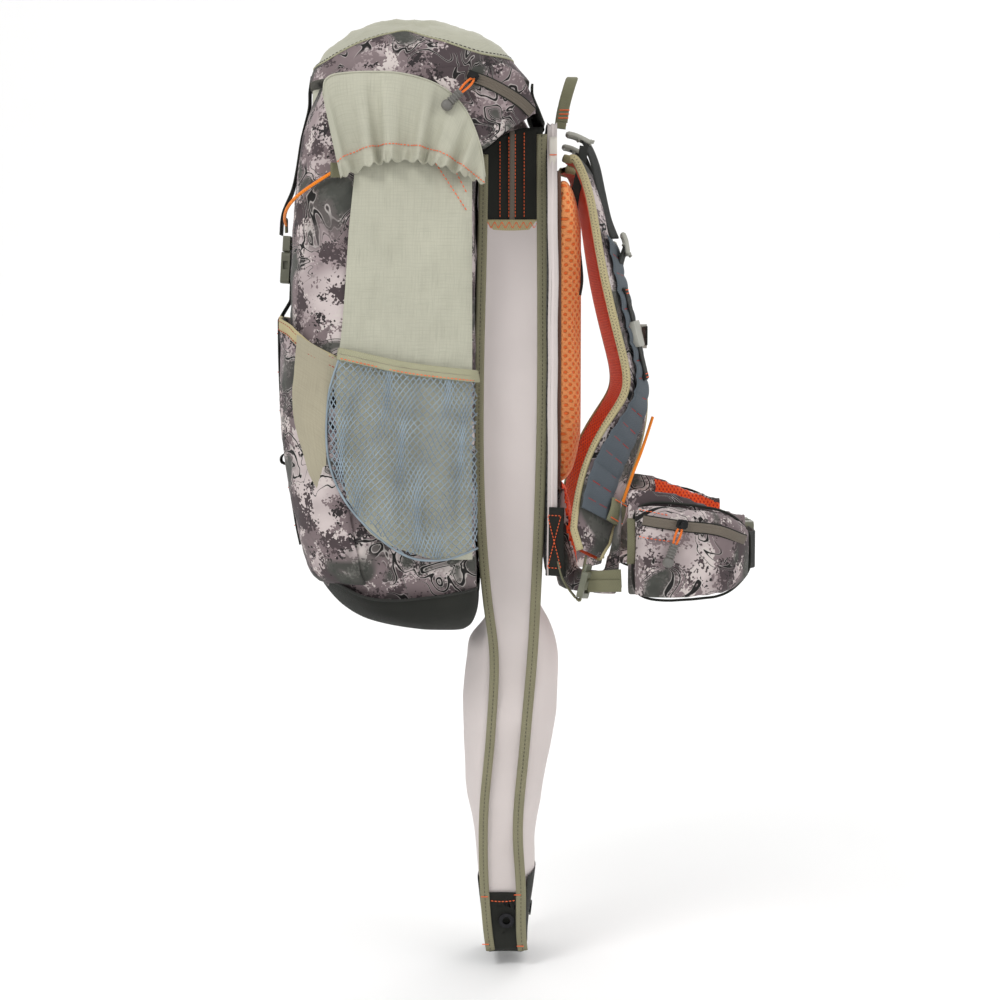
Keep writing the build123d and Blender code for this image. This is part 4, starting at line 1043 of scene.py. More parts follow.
for name, line_x, inset, broad in (("front", edge_front, 2.6, 9.5), ("rear", edge_back, -0.6, 10.5)):
    band_ = Batch()
    z = np.linspace(-64 if name == "rear" else -84, -901, 200)
    path = np.stack([line_x(z) + inset, -edge_half(z) - 0.9, z], 1)
    band_.add(*sweep(path, flat(broad, 3.0), (0, -1, 0)))
    band_.both("scabbard_binding_" + name, BINDING, "pack>drop", slot="olive_webbing")
    thread = Batch()
    stitches(thread, path + (0, -1.6, 0), (0, -1, 0), 4.2, 2.6, 0.28)
    thread.both("scabbard_binding_stitches_" + name, DARK_THREAD, "pack>drop", slot="orange_cord")
line = np.array([(x, -edge_half(-842) - 0.2 + 2.4, -842 - 3 * math.sin((x + 96) / 44 * math.pi))
                 for x in np.linspace(-86, -60, 20)])
thread = Batch()
stitches(thread, line + (0, -1.2, -3), (0, -1, 0), 3.4, 2.6, 0.5)
for start in ((-91, -894), (-55, -896), (-92, -842), (-58, -840)):
    bar = np.array([(start[0] + k, -edge_half(start[1]) - 2.5, start[1]) for k in np.linspace(-3.5, 3.5, 8)])
    stitches(thread, bar, (0, -1, 0), 1.0, 1.4, 0.5)
thread.both("boot_stitches", THREAD, "drop", slot="orange_cord")


# ---- soft pads ----
def lattice(count_u, count_v, shape):
    """A grid from a function of two shares, each from 0 to 1."""
    v, u = np.meshgrid(np.linspace(0, 1, count_v), np.linspace(0, 1, count_u), indexing="ij")
    return shape(u, v)


def stuffed(name, points, faces, cap, paints, body, nodes, slot, plane, inner=None, voxel=5.0,
            pressure=4.0):
    """A padded piece and its mirror image, remeshed and swelled by cloth simulation."""
    mesh = bpy.data.meshes.new(name)
    mesh.from_pydata((np.asarray(points) * MM).tolist(), [], [tuple(map(int, f)) for f in faces])
    work = bpy.data.objects.new(name + "_work", mesh)
    scene.collection.objects.link(work)
    bpy.context.view_layer.update()
    bm = bmesh.new()
    bm.from_mesh(mesh)
    bmesh.ops.recalc_face_normals(bm, faces=bm.faces)
    bm.to_mesh(mesh)
    bm.free()
    remesh = work.modifiers.new("voxels", "REMESH")
    remesh.mode, remesh.voxel_size = "VOXEL", voxel * MM
    work.data = bpy.data.meshes.new_from_object(work.evaluated_get(bpy.context.evaluated_depsgraph_get()))
    work.modifiers.clear()
    count = len(work.data.vertices)
    start = np.zeros(count * 3)
    work.data.vertices.foreach_get("co", start)
    start = start.reshape(-1, 3)
    end = start
    cloth = work.modifiers.new("cloth", "CLOTH")
    rules = cloth.settings
    rules.quality, rules.mass = 6, 0.3
    rules.tension_stiffness = rules.compression_stiffness = rules.shear_stiffness = 15
    rules.bending_stiffness = 0.6
    rules.use_pressure, rules.uniform_pressure_force = True, pressure
    rules.effector_weights.gravity = 0
    cloth.point_cache.frame_start, cloth.point_cache.frame_end = 1, 20
    for step in range(1, 21):
        scene.frame_set(step)
    swollen = work.evaluated_get(bpy.context.evaluated_depsgraph_get()).to_mesh()
    end = np.zeros(count * 3)
    swollen.vertices.foreach_get("co", end)
    end = end.reshape(-1, 3)
    work.modifiers.clear()
    scene.frame_set(1)
    move = end - start
    far = np.linalg.norm(move, axis=1, keepdims=True)
    move *= np.minimum(1, cap * MM / np.maximum(far, 1e-9))
    work.data.vertices.foreach_set("co", (start + move).ravel())
    smooth = work.modifiers.new("smooth", "SUBSURF")
    smooth.levels = smooth.render_levels = 1
    work.data = bpy.data.meshes.new_from_object(work.evaluated_get(bpy.context.evaluated_depsgraph_get()))
    place = np.zeros(len(work.data.vertices) * 3)
    work.data.vertices.foreach_get("co", place)
    place = place.reshape(-1, 3) / MM
    faces = [tuple(p.vertices) for p in work.data.polygons]
    bpy.data.objects.remove(work)
    pieces = pair(name, place, faces, paints[0], body, uv=place[:, plane], replaces=nodes, slot=slot)
    for made in pieces:
        if inner is not None:
            made.data.materials.append(paints[1])
            centres = np.zeros(len(made.data.polygons) * 3)
            made.data.polygons.foreach_get("center", centres)
            ways = np.zeros(len(made.data.polygons) * 3)
            made.data.polygons.foreach_get("normal", ways)
            turned = ways.reshape(-1, 3) if made is pieces[0] else flipped(ways.reshape(-1, 3))
            where = centres.reshape(-1, 3) / MM if made is pieces[0] else flipped(centres.reshape(-1, 3) / MM)
            made.data.polygons.foreach_set("material_index", inner(where, turned).astype(int))
    return pieces


def crown(u, v, power=0.5):
    return (np.clip(1 - (2 * u - 1) ** 4, 0, 1) * np.clip(1 - (2 * v - 1) ** 8, 0, 1)) ** power


def pad_face(x_low, x_high):
    def shape(u, v):
        return np.stack([x_low + (x_high - x_low) * crown(u, v), -34 - 72 * (1 - u), -104 - 308 * v], -1)
    return shape


points, faces = closed_pad(lattice(18, 60, pad_face(-17, 0.5)), lattice(18, 60, pad_face(-18, -19.5)))
stuffed("back_pad", points, faces, 5, (SPACER,), "pack", ("back_pads",), "spacer_mesh", [1, 2])
binding = Batch()
loop = []
for a in np.linspace(0, 2 * math.pi, 140, endpoint=False):
    c, s = math.cos(a), math.sin(a)
    loop.append((-18.6, -71 + 38 * np.sign(c) * abs(c) ** 0.28, -258 + 156 * np.sign(s) * abs(s) ** 0.28))
loop = np.array(loop + loop[:2])
binding.add(*sweep(loop, round_(3.0, 8), (1, 0, 0)))
binding.both("pad_binding", cloth_paint("brown_binding", rgb(96, 70, 58), 0.0022, 0.6, 0.2),
             slot="olive_webbing")

# back panel
grid = np.zeros((60, 60, 3))
for i, z in enumerate(np.linspace(-54, -500, 60)):
    half = 88 + 40 * np.clip((-52 - z) / 98, 0, 1)
    grid[i, :, 1] = np.linspace(-half, half, 60)
    grid[i, :, 2] = z
grid[..., 0] = -21.6 + swell(grid, 60, 0.5, 71)
points, faces, uv = thick_grid(grid, 8.6, (1, 0, 0))
piece("back_cloth", points, faces, BLACK_MESH, uv=uv, replaces=("back_panel",), slot="dark_cloth")
edge = np.concatenate([grid[::-1, 0], grid[0], grid[:, -1]]) + (-4, 0, 0)
binding = Batch().add(*sweep(edge + (1.4, 0, 0), flat(3.2, 9.6), (1, 0, 0)))
binding.make("back_edging", GREY_CLOTH, slot="scabbard_cloth")

# tab and stabiliser between the scabbard and the back
strip, thread = Batch(), Batch()
line = np.array([(-23.5, -101 - 4 * math.sin(s * 3), -67 - 57 * s) for s in np.linspace(0, 1, 16)])
strip.add(*sweep(line, flat(8, 1.4), (0, -1, 0)))
strip.both("side_tab", cloth_paint("pale_tape", rgb(214, 208, 198), 0.0012, 0.4, 0.06), slot="olive_webbing")
for z in (-85, -122):
    stitches(thread, np.array([(x, -106, z) for x in np.linspace(-27, -20, 8)]), (0, -1, 0), 1.1, 1.5, 0.5)
thread.both("side_tab_stitches", THREAD, slot="orange_cord")

# ---- shoulder straps ----
STATIONS = np.array([(-9, -58, -86, 4), (6, -61, -92, 6), (18, -72, -122, 10), (27, -86, -168, 14),
                     (36, -97, -212, 18),
                     (48.5, -97, -264, 18), (60, -97, -312, 18), (57, -100, -336, 31), (46, -108, -362, 43),
                     (31.5, -121, -392, 50), (20.5, -136, -422, 50), (13.5, -150, -452, 47),
                     (11, -162, -476, 42)], float)


def strap_frames(count, eased=1.0):
    """Centre, across (outer edge to inner edge) and outward directions evenly down the strap."""
    rows = curve(STATIONS, count)
    ease = np.clip(np.minimum(np.arange(count), np.arange(count)[::-1]) / 24, 0, 1)[:, None]
    window = np.hanning(47)
    padded_rows = np.pad(rows, ((23, 23), (0, 0)), mode="edge")
    even_rows = np.stack([np.convolve(padded_rows[:, k], window / window.sum(), "valid")
                          for k in range(4)], 1)
    rows = rows + (even_rows - rows) * ease * eased
    middle, turn = rows[:, :3], np.radians(rows[:, 3])
    along = np.gradient(middle, axis=0)
    along /= np.linalg.norm(along, axis=1, keepdims=True)
    across = np.stack([np.sin(turn), np.cos(turn), 0 * turn], 1)
    outward = np.cross(along, across)
    outward /= np.linalg.norm(outward, axis=1, keepdims=True)
    outward *= np.where((outward[:, :1] + outward[:, 2:] * 0.5) < 0, -1, 1)
    across = np.cross(outward, along)
    return middle, along, across, outward


STRAP_ROWS = 220
middle, along, across, outward = strap_frames(STRAP_ROWS)
share = np.linspace(0, 1, STRAP_ROWS)
half_width = ((30 - 7 * share + 4.5 * np.exp(-((share - 0.72) / 0.2) ** 2))
              * np.clip(np.minimum(share * 14, (1 - share) * 9) + 0.62, 0, 1))
puff = 6.2 * np.clip(np.minimum(share * 9, (1 - share) * 6) + 0.4, 0, 1)
t = np.linspace(-1, 1, 21)
bow = np.sqrt(np.clip(1 - np.abs(t) ** 3.2, 0, 1))


def strap_skin(sign):
    rise = 1.0 + bow[None, :] * puff[:, None]
    ripple = swell(middle, 60, 0.5, 81)[:, None] * bow
    return (middle[:, None] + across[:, None] * (t[None, :, None] * half_width[:, None, None])
            + outward[:, None] * (sign * (rise + ripple))[..., None])


strap_uv = np.stack([np.tile(t * 30, STRAP_ROWS), np.repeat(np.linspace(0, 470, STRAP_ROWS), 21)], 1)
face = strap_skin(1)
outer_face = pair("strap_face", face.reshape(-1, 3),
                  face_out(face, quads(STRAP_ROWS, 21), outward[:, None] + 0 * face), CAMO,
                  uv=strap_uv, replaces=("shoulder_strap_right",), slot="strap_cloth")
face = strap_skin(-1)
inner_face = pair("strap_lining", face.reshape(-1, 3),
                  face_out(face, quads(STRAP_ROWS, 21), -outward[:, None] + 0 * face), STRAP_MESH,
                  uv=strap_uv, slot="spacer_mesh")
for side_name, sign in (("outer", -1), ("inner", 1)):
    thread = Batch()
    edge = middle + across * (sign * (half_width[:, None] - 0.6))
    outline = [(-4.2, -0.8), (-3.6, 1.2), (-1.8, 1.9), (0, 2.1), (1.8, 1.9), (3.6, 1.2), (4.2, -0.8),
                (0, -1.8)]
    binding = Batch().add(*sweep(edge, outline, across * sign))
    binding.both("strap_binding_" + side_name, CREAM_BINDING, slot="olive_webbing")
    stitches(thread, zigzag(edge + across * (sign * 1.7), across * sign, 4.2, 1.6), across[0] * sign, 2.9,
             2.6, 0.28)
    thread.both("strap_binding_stitches_" + side_name, DARK_THREAD, slot="orange_cord")

# webbing ladder down the outer face, bar-tacked into loops
start, stop = int(STRAP_ROWS * 0.235), int(STRAP_ROWS * 0.915)
web, tacks = Batch(), Batch()
pick = np.arange(start, stop)
length = np.linalg.norm(np.diff(middle[pick], axis=0), axis=1).sum()
phase = np.concatenate([[0], np.linalg.norm(np.diff(middle[pick], axis=0), axis=1).cumsum()])
LOOP = 17.5    # length of one loop of the ladder
arch = np.abs(np.sin(phase / LOOP * np.pi)) ** 0.6 * 2.2
aside = 2 + 6 * np.clip((share[pick] - 0.45) / 0.2, 0, 1)
centre = middle[pick] - across[pick] * aside[:, None] + outward[pick] * (8.4 + arch)[:, None]
fine_centre = np.stack([np.interp(np.linspace(0, length, 330), phase, centre[:, k]) for k in range(3)], 1)
fine_out = np.stack([np.interp(np.linspace(0, length, 330), phase, outward[pick][:, k]) for k in range(3)], 1)
web.add(*sweep(fine_centre, flat(37, 1.7), fine_out))
web.both("strap_ladder", SLATE, replaces=("strap_webbing_right",), slot="strap_cloth")
for k in range(1, int(length / LOOP) + 1):
    i = min(len(pick) - 2, int(np.searchsorted(phase, k * LOOP)))
    for lane in (-9 - aside[i] + 2, 6 - aside[i] + 2):
        bar = (middle[pick[i]] + outward[pick[i]] * 9.7
               + across[pick[i]] * (lane + np.linspace(-5, 5, 12))[:, None])
        stitches(tacks, bar, outward[pick[i]], 0.9, 1.6, 0.55)
tacks.both("strap_tacks", RED_THREAD, slot="orange_cord")


def station(i):
    far = np.linalg.norm(middle - STATIONS[i, :3], axis=1)
    return int(far.argmin())


# the rail that the chest slider rides on
rail = station(5)
rail_place, rail_along, rail_across, rail_up = (part[rail] for part in strap_frames(STRAP_ROWS, 0.0))
ends = np.array([rail_place + rail_along * s + rail_up * 12.3 for s in np.linspace(-46, 46, 24)])
rails = Batch().add(*sweep(ends, flat(13.6, 1.6), rail_up))
for end in (-44, 44):
    foot = np.array([rail_place + rail_along * (end + s) + rail_up * 10.6 for s in np.linspace(-3, 3, 4)])
    rails.add(*sweep(foot, flat(13.6, 2.4), rail_up))
rails.both("strap_rail", DARK_WEB, slot="dark_webbing")
tacks = Batch()
for end in (-44.5, -41, 41, 44.5):
    bar = rail_place + rail_along * end + rail_up * 13.2 + rail_across * np.linspace(-5, 5, 12)[:, None]
    stitches(tacks, bar, rail_up, 0.9, 1.6, 0.5)
tacks.both("rail_tacks", THREAD, slot="orange_cord")

# webbing keeper at the elastic cord's end
k = station(10)
place = middle[k] + across[k] * 16 + outward[k] * 13.2
path = np.array([place + along[k] * s + outward[k] * (1.6 * math.sin((s + 2) / 24 * math.pi))
                 for s in np.linspace(-2, 22, 16)])
keeper = Batch().add(*sweep(path, flat(20, 4.6), outward[k]))
keeper.both("cord_keeper", OLIVE_WEB, slot="olive_webbing")
thread = Batch()
for s in (0, 19):
    bar = place + along[k] * s + outward[k] * 3.4 + across[k] * np.linspace(-8, 8, 18)[:, None]
    stitches(thread, bar, outward[k], 1.0, 1.6, 0.5)
thread.both("keeper_stitches", THREAD, slot="orange_cord")


# ---- moulded adjusters ----
def moved(points, origin, x_way, y_way):
    """Points of a local shape put at origin, with local x and y along the given directions."""
    x_way = np.asarray(x_way, float) / np.linalg.norm(x_way)
    z_way = np.cross(x_way, np.asarray(y_way, float))
    z_way /= np.linalg.norm(z_way)
    y_way = np.cross(z_way, x_way)
    points = np.asarray(points, float)
    return np.asarray(origin) + points[:, :1] * x_way + points[:, 1:2] * y_way + points[:, 2:] * z_way


def bar_shape(start, stop, radius, squash=1.0, up=(0, 0, 1)):
    path = np.linspace(start, stop, 6)
    grow = np.array([0.72, 1, 1, 1, 1, 0.72])
    return sweep(path, round_(radius, 10, squash), up, grow)


def adjuster(origin, x_way, y_way, width, length, bars=(0.0,)):
    """A ladder lock: two cheeks, a front lip, cross bars and a lifted tail lip."""
    batch = Batch()
    half, reach = width / 2 + 3, length / 2
    for side in (-half, half):
        cheek = np.array([(-reach, side, 0.2), (-reach * 0.4, side, 1.4), (reach * 0.3, side, 1.4),
                          (reach, side, 0.8)])
        points, faces, uv = sweep(curve(cheek, 14), [(a * 0.9, b) for a, b in round_(2.3, 10)], (0, 0, 1))
        batch.add(moved(points, origin, x_way, y_way), faces, uv)
    for x, z, radius, squash in ((-reach, 0.2, 2.2, 1.0), (reach, 1.6, 2.0, 1.5),
                                 *[(reach * b, -0.4, 1.9, 1.0) for b in bars]):
        points, faces, uv = bar_shape((x, -half, z), (x, half, z), radius, squash)
        batch.add(moved(points, origin, x_way, y_way), faces, uv)
    for y in np.linspace(-half + 4, half - 4, 4):
        points, faces, uv = bar_shape((reach, y, 2.4), (reach + 3.4, y, 4.2), 1.1)
        batch.add(moved(points, origin, x_way, y_way), faces, uv)
    return batch


lifter = curve([(0, -65.5, -62.5), (10, -66.5, -69), (19, -71, -90), (25, -76, -118), (31, -80, -145),
                (39, -82.5, -166)], 90)
lifter_up = np.cross(np.gradient(lifter, axis=0), np.array([0.5, 0.85, -0.1]))
lifter_up /= np.linalg.norm(lifter_up, axis=1, keepdims=True)
lifter_up *= np.where(lifter_up[:, :1] < 0, -1, 1)
web = Batch().add(*sweep(lifter, flat(19.5, 1.7), lifter_up))
tail = curve([(8, -66, -74), (4, -67, -100), (-2, -69, -132), (0, -72, -170), (3, -74, -205),
              (1, -76, -222)], 70)
web.add(*sweep(tail + (0, -14, 0), flat(9, 1.5), (0.2, -1, 0)))
web.both("lifter_webbing", DARK_WEB, replaces=("load_lifter_right",), slot="dark_webbing")
adjuster((3, -65, -66), (0.92, 0, -0.4), (0, 1, 0), 20, 24).both("lifter_lock", GREY_PLASTIC,
                                                                 slot="buckle_plastic")
ring = adjuster((48.5, -83.5, -172), (0.2, 0, -0.98), (0, 1, 0), 21, 20)
ring.both("lifter_ring", GREY_PLASTIC, slot="buckle_plastic")
anchor = curve([(49.5, -83.5, -176), (46, -85, -186), (44, -87, -196)], 20)
web = Batch().add(*sweep(anchor, flat(19, 1.8), (1, -0.2, 0.2)))
web.both("lifter_anchor", DARK_WEB, slot="dark_webbing")

# lower webbing to the pack's corner
path = curve([(8, -156, -478), (3, -156, -506), (2, -156, -521), (-6, -156, -514), (-15, -156, -500),
              (-19.5, -156, -484)], 60)
web = Batch().add(*sweep(path, flat(19.5, 1.7), (0, 0, 1) + 0 * path + (-1, 0, 0)))
web.both("lower_webbing", OLIVE_WEB, slot="olive_webbing")
grid = np.zeros((20, 20, 3))
for i, s in enumerate(np.linspace(0, 1, 20)):
    grid[i, :, 0] = np.linspace(-31, -14 + 3 * s, 20)
    grid[i, :, 2] = -432 - 68 * s
grid[..., 1] = -127 - 12 * np.clip((grid[..., 0] + 31) / 17, 0, 1)
points, faces, uv = thick_grid(grid, 2.4, (0, -1, 0))
pair("corner_stabiliser", points, faces, BLACK_CLOTH, uv=uv, slot="dark_cloth")
thread = Batch()
for a, b in (((-29, -440), (-16, -492)), ((-16, -440), (-29, -492)), ((-29, -440), (-16, -440)),
             ((-29, -492), (-16, -492))):
    s = np.linspace(0, 1, 20)
    x = a[0] + (b[0] - a[0]) * s
    line = np.stack([x, -128.2 - 12 * np.clip((x + 31) / 17, 0, 1), a[1] + (b[1] - a[1]) * s], 1)
    stitches(thread, line, (0, -1, 0), 3.2, 2.4, 0.5)
thread.both("corner_stitches", THREAD, slot="orange_cord")

# haul loop
loop = curve([(-13, -31.5, -45), (-10.5, -31.5, -28), (-6.2, -31, -12), (-3, -24, -1.5), (-1.6, -10, 2.0),
              (-1.6, 10, 2.0),
              (-3, 24, -1.5), (-6.2, 31, -12), (-10.5, 31.5, -28), (-13, 31.5, -45)], 120)
up = np.stack([0 * loop[:, 0], loop[:, 1] / 34, np.clip((loop[:, 2] + 30) / 32, 0, 1)], 1)
web = Batch().add(*sweep(loop, flat(12, 2.8), up))
web.make("haul_webbing", OLIVE_WEB, replaces=("haul_loop",), slot="dark_webbing")
thread = Batch()
for z in (-33, -37, -41):
    for hand in (-1, 1):
        bar = np.array([(-12 + (z + 45) * 0.17 + s, hand * 33.4, z) for s in np.linspace(-5, 5, 14)])
        stitches(thread, bar, (0, hand, 0), 0.9, 1.6, 0.55)
thread.make("haul_stitches", THREAD, slot="orange_cord")

# cloth between the lid and the back
path = curve([(-31.5, -54), (-37, -42), (-43, -28), (-43.5, -17)], 20)
grid = np.array([[(x, y, z) for y in np.linspace(-117, 117, 60)] for x, z in path])
grid[..., 0] += swell(grid, 40, 0.6, 91)
points, faces, uv = thick_grid(grid, 2.4, (1, 0, 0.3))
piece("lid_bridge", points, faces, BLACK_CLOTH, uv=uv, replaces=("lid_yoke",), slot="dark_cloth")

# collar under the lid
grid = []
for s in np.linspace(0, 1, 24):
    plan = full_ring(half_ring(-266 + 2 * s, -101.5, 134.5 - 4 * s, 60, 17))
    turn = np.arange(len(plan))
    pleat = np.sin(turn * 0.9) * 1.2 * s
    away = plan - (-183, 0)
    away /= np.linalg.norm(away, axis=1, keepdims=True)
    plan = plan + away * (pleat - 1.5)[:, None]
    grid.append(np.concatenate([plan, np.full((len(plan), 1), -61 + 41 * s)], 1))
grid = np.array(grid)
made = surface("collar_cloth", grid, outwards(grid), RIPSTOP, replaces=("collar",), slot="ripstop_cloth")

# ---- hip belt ----
ROOT = [(-12, -30), (-12, -80), (-8, -100), (4, -115), (20, -127), (34, -141), (42.5, -150)]
WING = [(46, -150), (80, -152), (115, -147), (145, -134), (166, -113.5)]


def belt_pad(path, top, bottom, thick, count_u=44, count_v=22, shift=0.0):
    """Front and back grids of a pad that follows a plan path, with its heights as functions of x or share."""
    line = curve(path, count_u)
    along_ = np.gradient(line, axis=0)
    along_ /= np.linalg.norm(along_, axis=1, keepdims=True)
    side = np.stack([along_[:, 1], -along_[:, 0]], 1)
    grids = []
    for sign in (-1, 1):
        grid = np.zeros((count_v, count_u, 3))
        for i, v in enumerate(np.linspace(0, 1, count_v)):
            u = np.linspace(0, 1, count_u)
            rise = thick / 2 * crown(0.5 + (u - 0.5) * 0.96, v, 0.5)
            grid[i, :, :2] = line + side * (sign * np.maximum(rise, 0.8) + shift)[:, None]
            grid[i, :, 2] = top(line) + (bottom(line) - top(line)) * v
        grids.append(grid)
    return grids


wing_top = hermite([44.5, 90, 140, 172], [-410, -413, -429, -442])
wing_low = hermite([44.5, 90, 140, 172], [-519, -519, -516, -508])
front_grid, back_grid = belt_pad(WING, lambda p: wing_top(p[:, 0]), lambda p: wing_low(p[:, 0]), 11.5)
points, faces = closed_pad(front_grid, back_grid)


def facing_hip(where, way):
    """The wing's inner face, towards the wearer."""
    return (way[:, 1] > 0.35) & (where[:, 0] > 98) & (where[:, 2] < wing_top(where[:, 0]) - 6)


stuffed("wing_pad", points, faces, 4, (CAMO, STRAP_MESH), "right_wing", ("belt_wing_right",),
        "camo_cloth", [0, 2], facing_hip)


def root_top(line):
    """The root's top: full height at the back, low under the strap's end, and up again to meet the wing."""
    under_strap = np.maximum(-494, -414 + (line[:, 1] + 92) * 5.0)
    to_wing = -494 + 78 * np.clip((line[:, 0] - 29) / 12, 0, 1)
    return np.where(line[:, 1] > -92, -414, np.maximum(under_strap, to_wing))


front_grid, back_grid = belt_pad(ROOT, root_top, lambda p: 0 * p[:, 0] - 519, 11.5, 50, 22)
points, faces = closed_pad(front_grid, back_grid)
stuffed("root_pad", points, faces, 4, (CAMO, STRAP_MESH), "pack", (), "camo_cloth", [1, 2],
        lambda where, way: (way[:, 0] > 0.3) & (where[:, 1] > -100))
lumbar_front, lumbar_back = (
    lattice(24, 20, lambda u, v: np.stack([-12 + rise * crown(u, v), -31 + 62 * u, -414 - 105 * v], -1))
    for rise in (6.4, -6))
points, faces = closed_pad(lumbar_front, lumbar_back)
made = piece("lumbar_pad", points, faces, STRAP_MESH, uv=points[:, 1:], replaces=("belt_core",),
             slot="spacer_mesh")

# pockets on the wings
pocket_top = hermite([50, 80, 112, 150, 172], [-424.5, -425, -428, -438, -452])
pocket_low = hermite([50, 104, 150, 172], [-520, -520.5, -514, -501])


def pocket_shape(depth_of, y_of):
    def shape(u, v):
        x = 53 + 119 * u
        z = pocket_top(x) + (pocket_low(x) - pocket_top(x)) * v
        return np.stack([x, y_of(x) - depth_of(u, v), z], -1)
    return shape


wing_y = hermite([50, 80, 116, 149, 175], [-159.5, -161, -156, -142.5, -119])


def pocket_depth(u, v):
    """How far the pocket stands off its wing, over two shares."""
    across = np.clip(1 - np.abs(2 * u - 1.0) ** 3.0, 0, 1)
    return 23.5 * (across * np.clip(1 - np.abs(2 * v - 1) ** 4, 0, 1)) ** 0.42


points, faces = closed_pad(lattice(34, 30, pocket_shape(pocket_depth, wing_y)),
                           lattice(34, 30, pocket_shape(lambda u, v: 0 * u, wing_y)))
stuffed("pocket_pad", points, faces, 5, (CAMO,), "right_wing", ("belt_pocket_right",), "camo_cloth",
        [0, 2])


def pocket_skin(x, z, lift=0.0):
    """The y on a pocket's outer face."""
    u, v = (x - 53) / 119, (z - pocket_top(x)) / (pocket_low(x) - pocket_top(x))
    return wing_y(x) - pocket_depth(np.clip(u, 0, 1), np.clip(v, 0, 1)) - lift


def on_pocket(points, lift):
    points = np.asarray(points, float)
    return np.stack([points[:, 0], pocket_skin(points[:, 0], points[:, 1], lift), points[:, 1]], 1)


zip_line = curve([(62, -441), (97, -446), (134, -451), (164, -463)], 70)
path = on_pocket(zip_line, 3.4)
profile = ribbed(4.8, [-3.1 + 3.1 * k for k in range(3)], 1.4, 0.5, 1.3)
Batch().add(*sweep(path, profile, (0, -1, 0))).both("belt_zip_band", ZIP_TAPE, "right_wing", slot="zip_tape")
pipes, thread, tabs = Batch(), Batch(), Batch()
_, side, _ = axes(path, (0, -1, 0))
for offset in (-5.0, 5.0):
    pipes.add(*sweep(path + side * offset, round_(0.6, 8), (0, -1, 0)))
pipes.both("belt_zip_piping", BLACK_CLOTH, "right_wing", slot="dark_cloth")
for line in ([(58, -431), (70, -433), (86, -436)], [(58, -457), (72, -459), (88, -461)]):
    stitches(thread, on_pocket(curve(line, 50), 2.6), (0, -1, 0), 3.8, 2.6, 0.45)
thread.both("pocket_stitches", THREAD, "right_wing", slot="orange_cord")
edge = []
for a in np.linspace(0, 2 * math.pi, 120, endpoint=False):
    c, s = math.cos(a), math.sin(a)
    u, v = 0.5 + 0.5 * np.sign(c) * abs(c) ** 0.35, 0.5 + 0.5 * np.sign(s) * abs(s) ** 0.35
    x = 53 + 119 * u
    edge.append((x, wing_y(x) - 1.6, pocket_top(x) + (pocket_low(x) - pocket_top(x)) * v))
edge = np.array(edge + edge[:2])
Batch().add(*sweep(edge, round_(1.3, 8), (0, -1, 0))).both("pocket_piping", BLACK_CLOTH, "right_wing",
                                                           slot="dark_cloth")
line = np.array([(51.5, -161 - 7 * math.sin(s * math.pi), -441 - 44 * s) for s in np.linspace(0, 1, 20)])
tabs.add(*sweep(line, flat(8, 2.4), (0, -1, 0)))
tabs.both("wing_tab", OLIVE_WEB, "right_wing", slot="olive_webbing")
webs = Batch().add(*sweep(curve([(5, -165, -501), (24, -166, -500), (42, -165, -499)], 30), flat(18, 2.2),
                          (0, -1, 0)))
webs.add(*sweep(curve([(9, -167.4, -506), (26, -168.2, -506), (42, -167, -506)], 30), flat(12, 1.8),
                (0, -1, 0)))
webs.both("stabiliser_webbing", OLIVE_WEB, slot="olive_webbing")

# webbing of the belt and the chest strap
path = curve([(158, -119, -478), (166, -106, -478), (172, -97, -478), (178, -87, -478), (182, -74, -478),
              (182, -22.6, -478)], 70)
web = Batch().add(*sweep(path, flat(37.5, 1.7), (1, -0.4, 0)))
web.make("belt_webbing_right", DARK_WEB, "right_wing", replaces=("belt_strap_right",), slot="dark_webbing")
path = curve([(182, 46, -478), (182, 80, -478), (180.6, 104, -478), (176, 118, -478)], 60)
web = Batch().add(*sweep(path, flat(37.5, 1.7), (1, 0.1, 0)))
web.make("belt_webbing_left", DARK_WEB, "belt_tongue", replaces=("belt_strap_left",), slot="dark_webbing")
path = np.array([(71.4, y, -262.8) for y in np.linspace(-83.6, -20.3, 40)])
web = Batch().add(*sweep(path, flat(19.6, 1.6), (1, 0, 0)))
web.make("chest_webbing_right", DARK_WEB, "sternum_right", replaces=("sternum_webbing_right",),
         slot="dark_webbing")
path = np.array([(71.4, y, -262.8) for y in np.linspace(20, 83.6, 40)])
web = Batch().add(*sweep(path, flat(19.6, 1.6), (1, 0, 0)))
web.make("chest_webbing_left", DARK_WEB, "sternum_tongue", replaces=("sternum_webbing_left",),
         slot="dark_webbing")

# ---- front closure ----
path = curve([(-270, 4), (-272.5, -12), (-273.5, -30), (-281, -60), (-286, -90), (-291, -112),
              (-301, -136), (-303.5, -158)], 80)
path = np.stack([path[:, 0], 0 * path[:, 0], path[:, 1]], 1)
web = Batch().add(*sweep(path, flat(24.6, 1.7), (-1, 0, 0.1)))
web.make("lid_webbing", DARK_WEB, "lid", replaces=("lid_strap",), slot="dark_webbing")
z = np.linspace(-196, -480, 120)
path = np.stack([front_x(z) - np.interp(-z, [196, 226, 246, 480], [1.6, 2.4, 14.4, 14.0]), 0 * z, z], 1)
web, thread = Batch().add(*sweep(path, flat(24.6, 1.7), (-1, 0, 0))), Batch()
tab = curve([(-299, -384), (-304.5, -388), (-304.5, -394), (-298, -397)], 20)
web.add(*sweep(np.stack([tab[:, 0], 0 * tab[:, 0], tab[:, 1]], 1), flat(18, 1.5), (-1, 0, 0)))
web.make("front_strip", DARK_WEB, replaces=("front_webbing",), slot="dark_webbing")
for start_z in (-260, -300, -340, -420, -460):
    bar = np.array([(front_x(start_z) - 15.6, y, start_z) for y in np.linspace(-10, 10, 24)])
    stitches(thread, bar, (-1, 0, 0), 1.0, 1.6, 0.55)
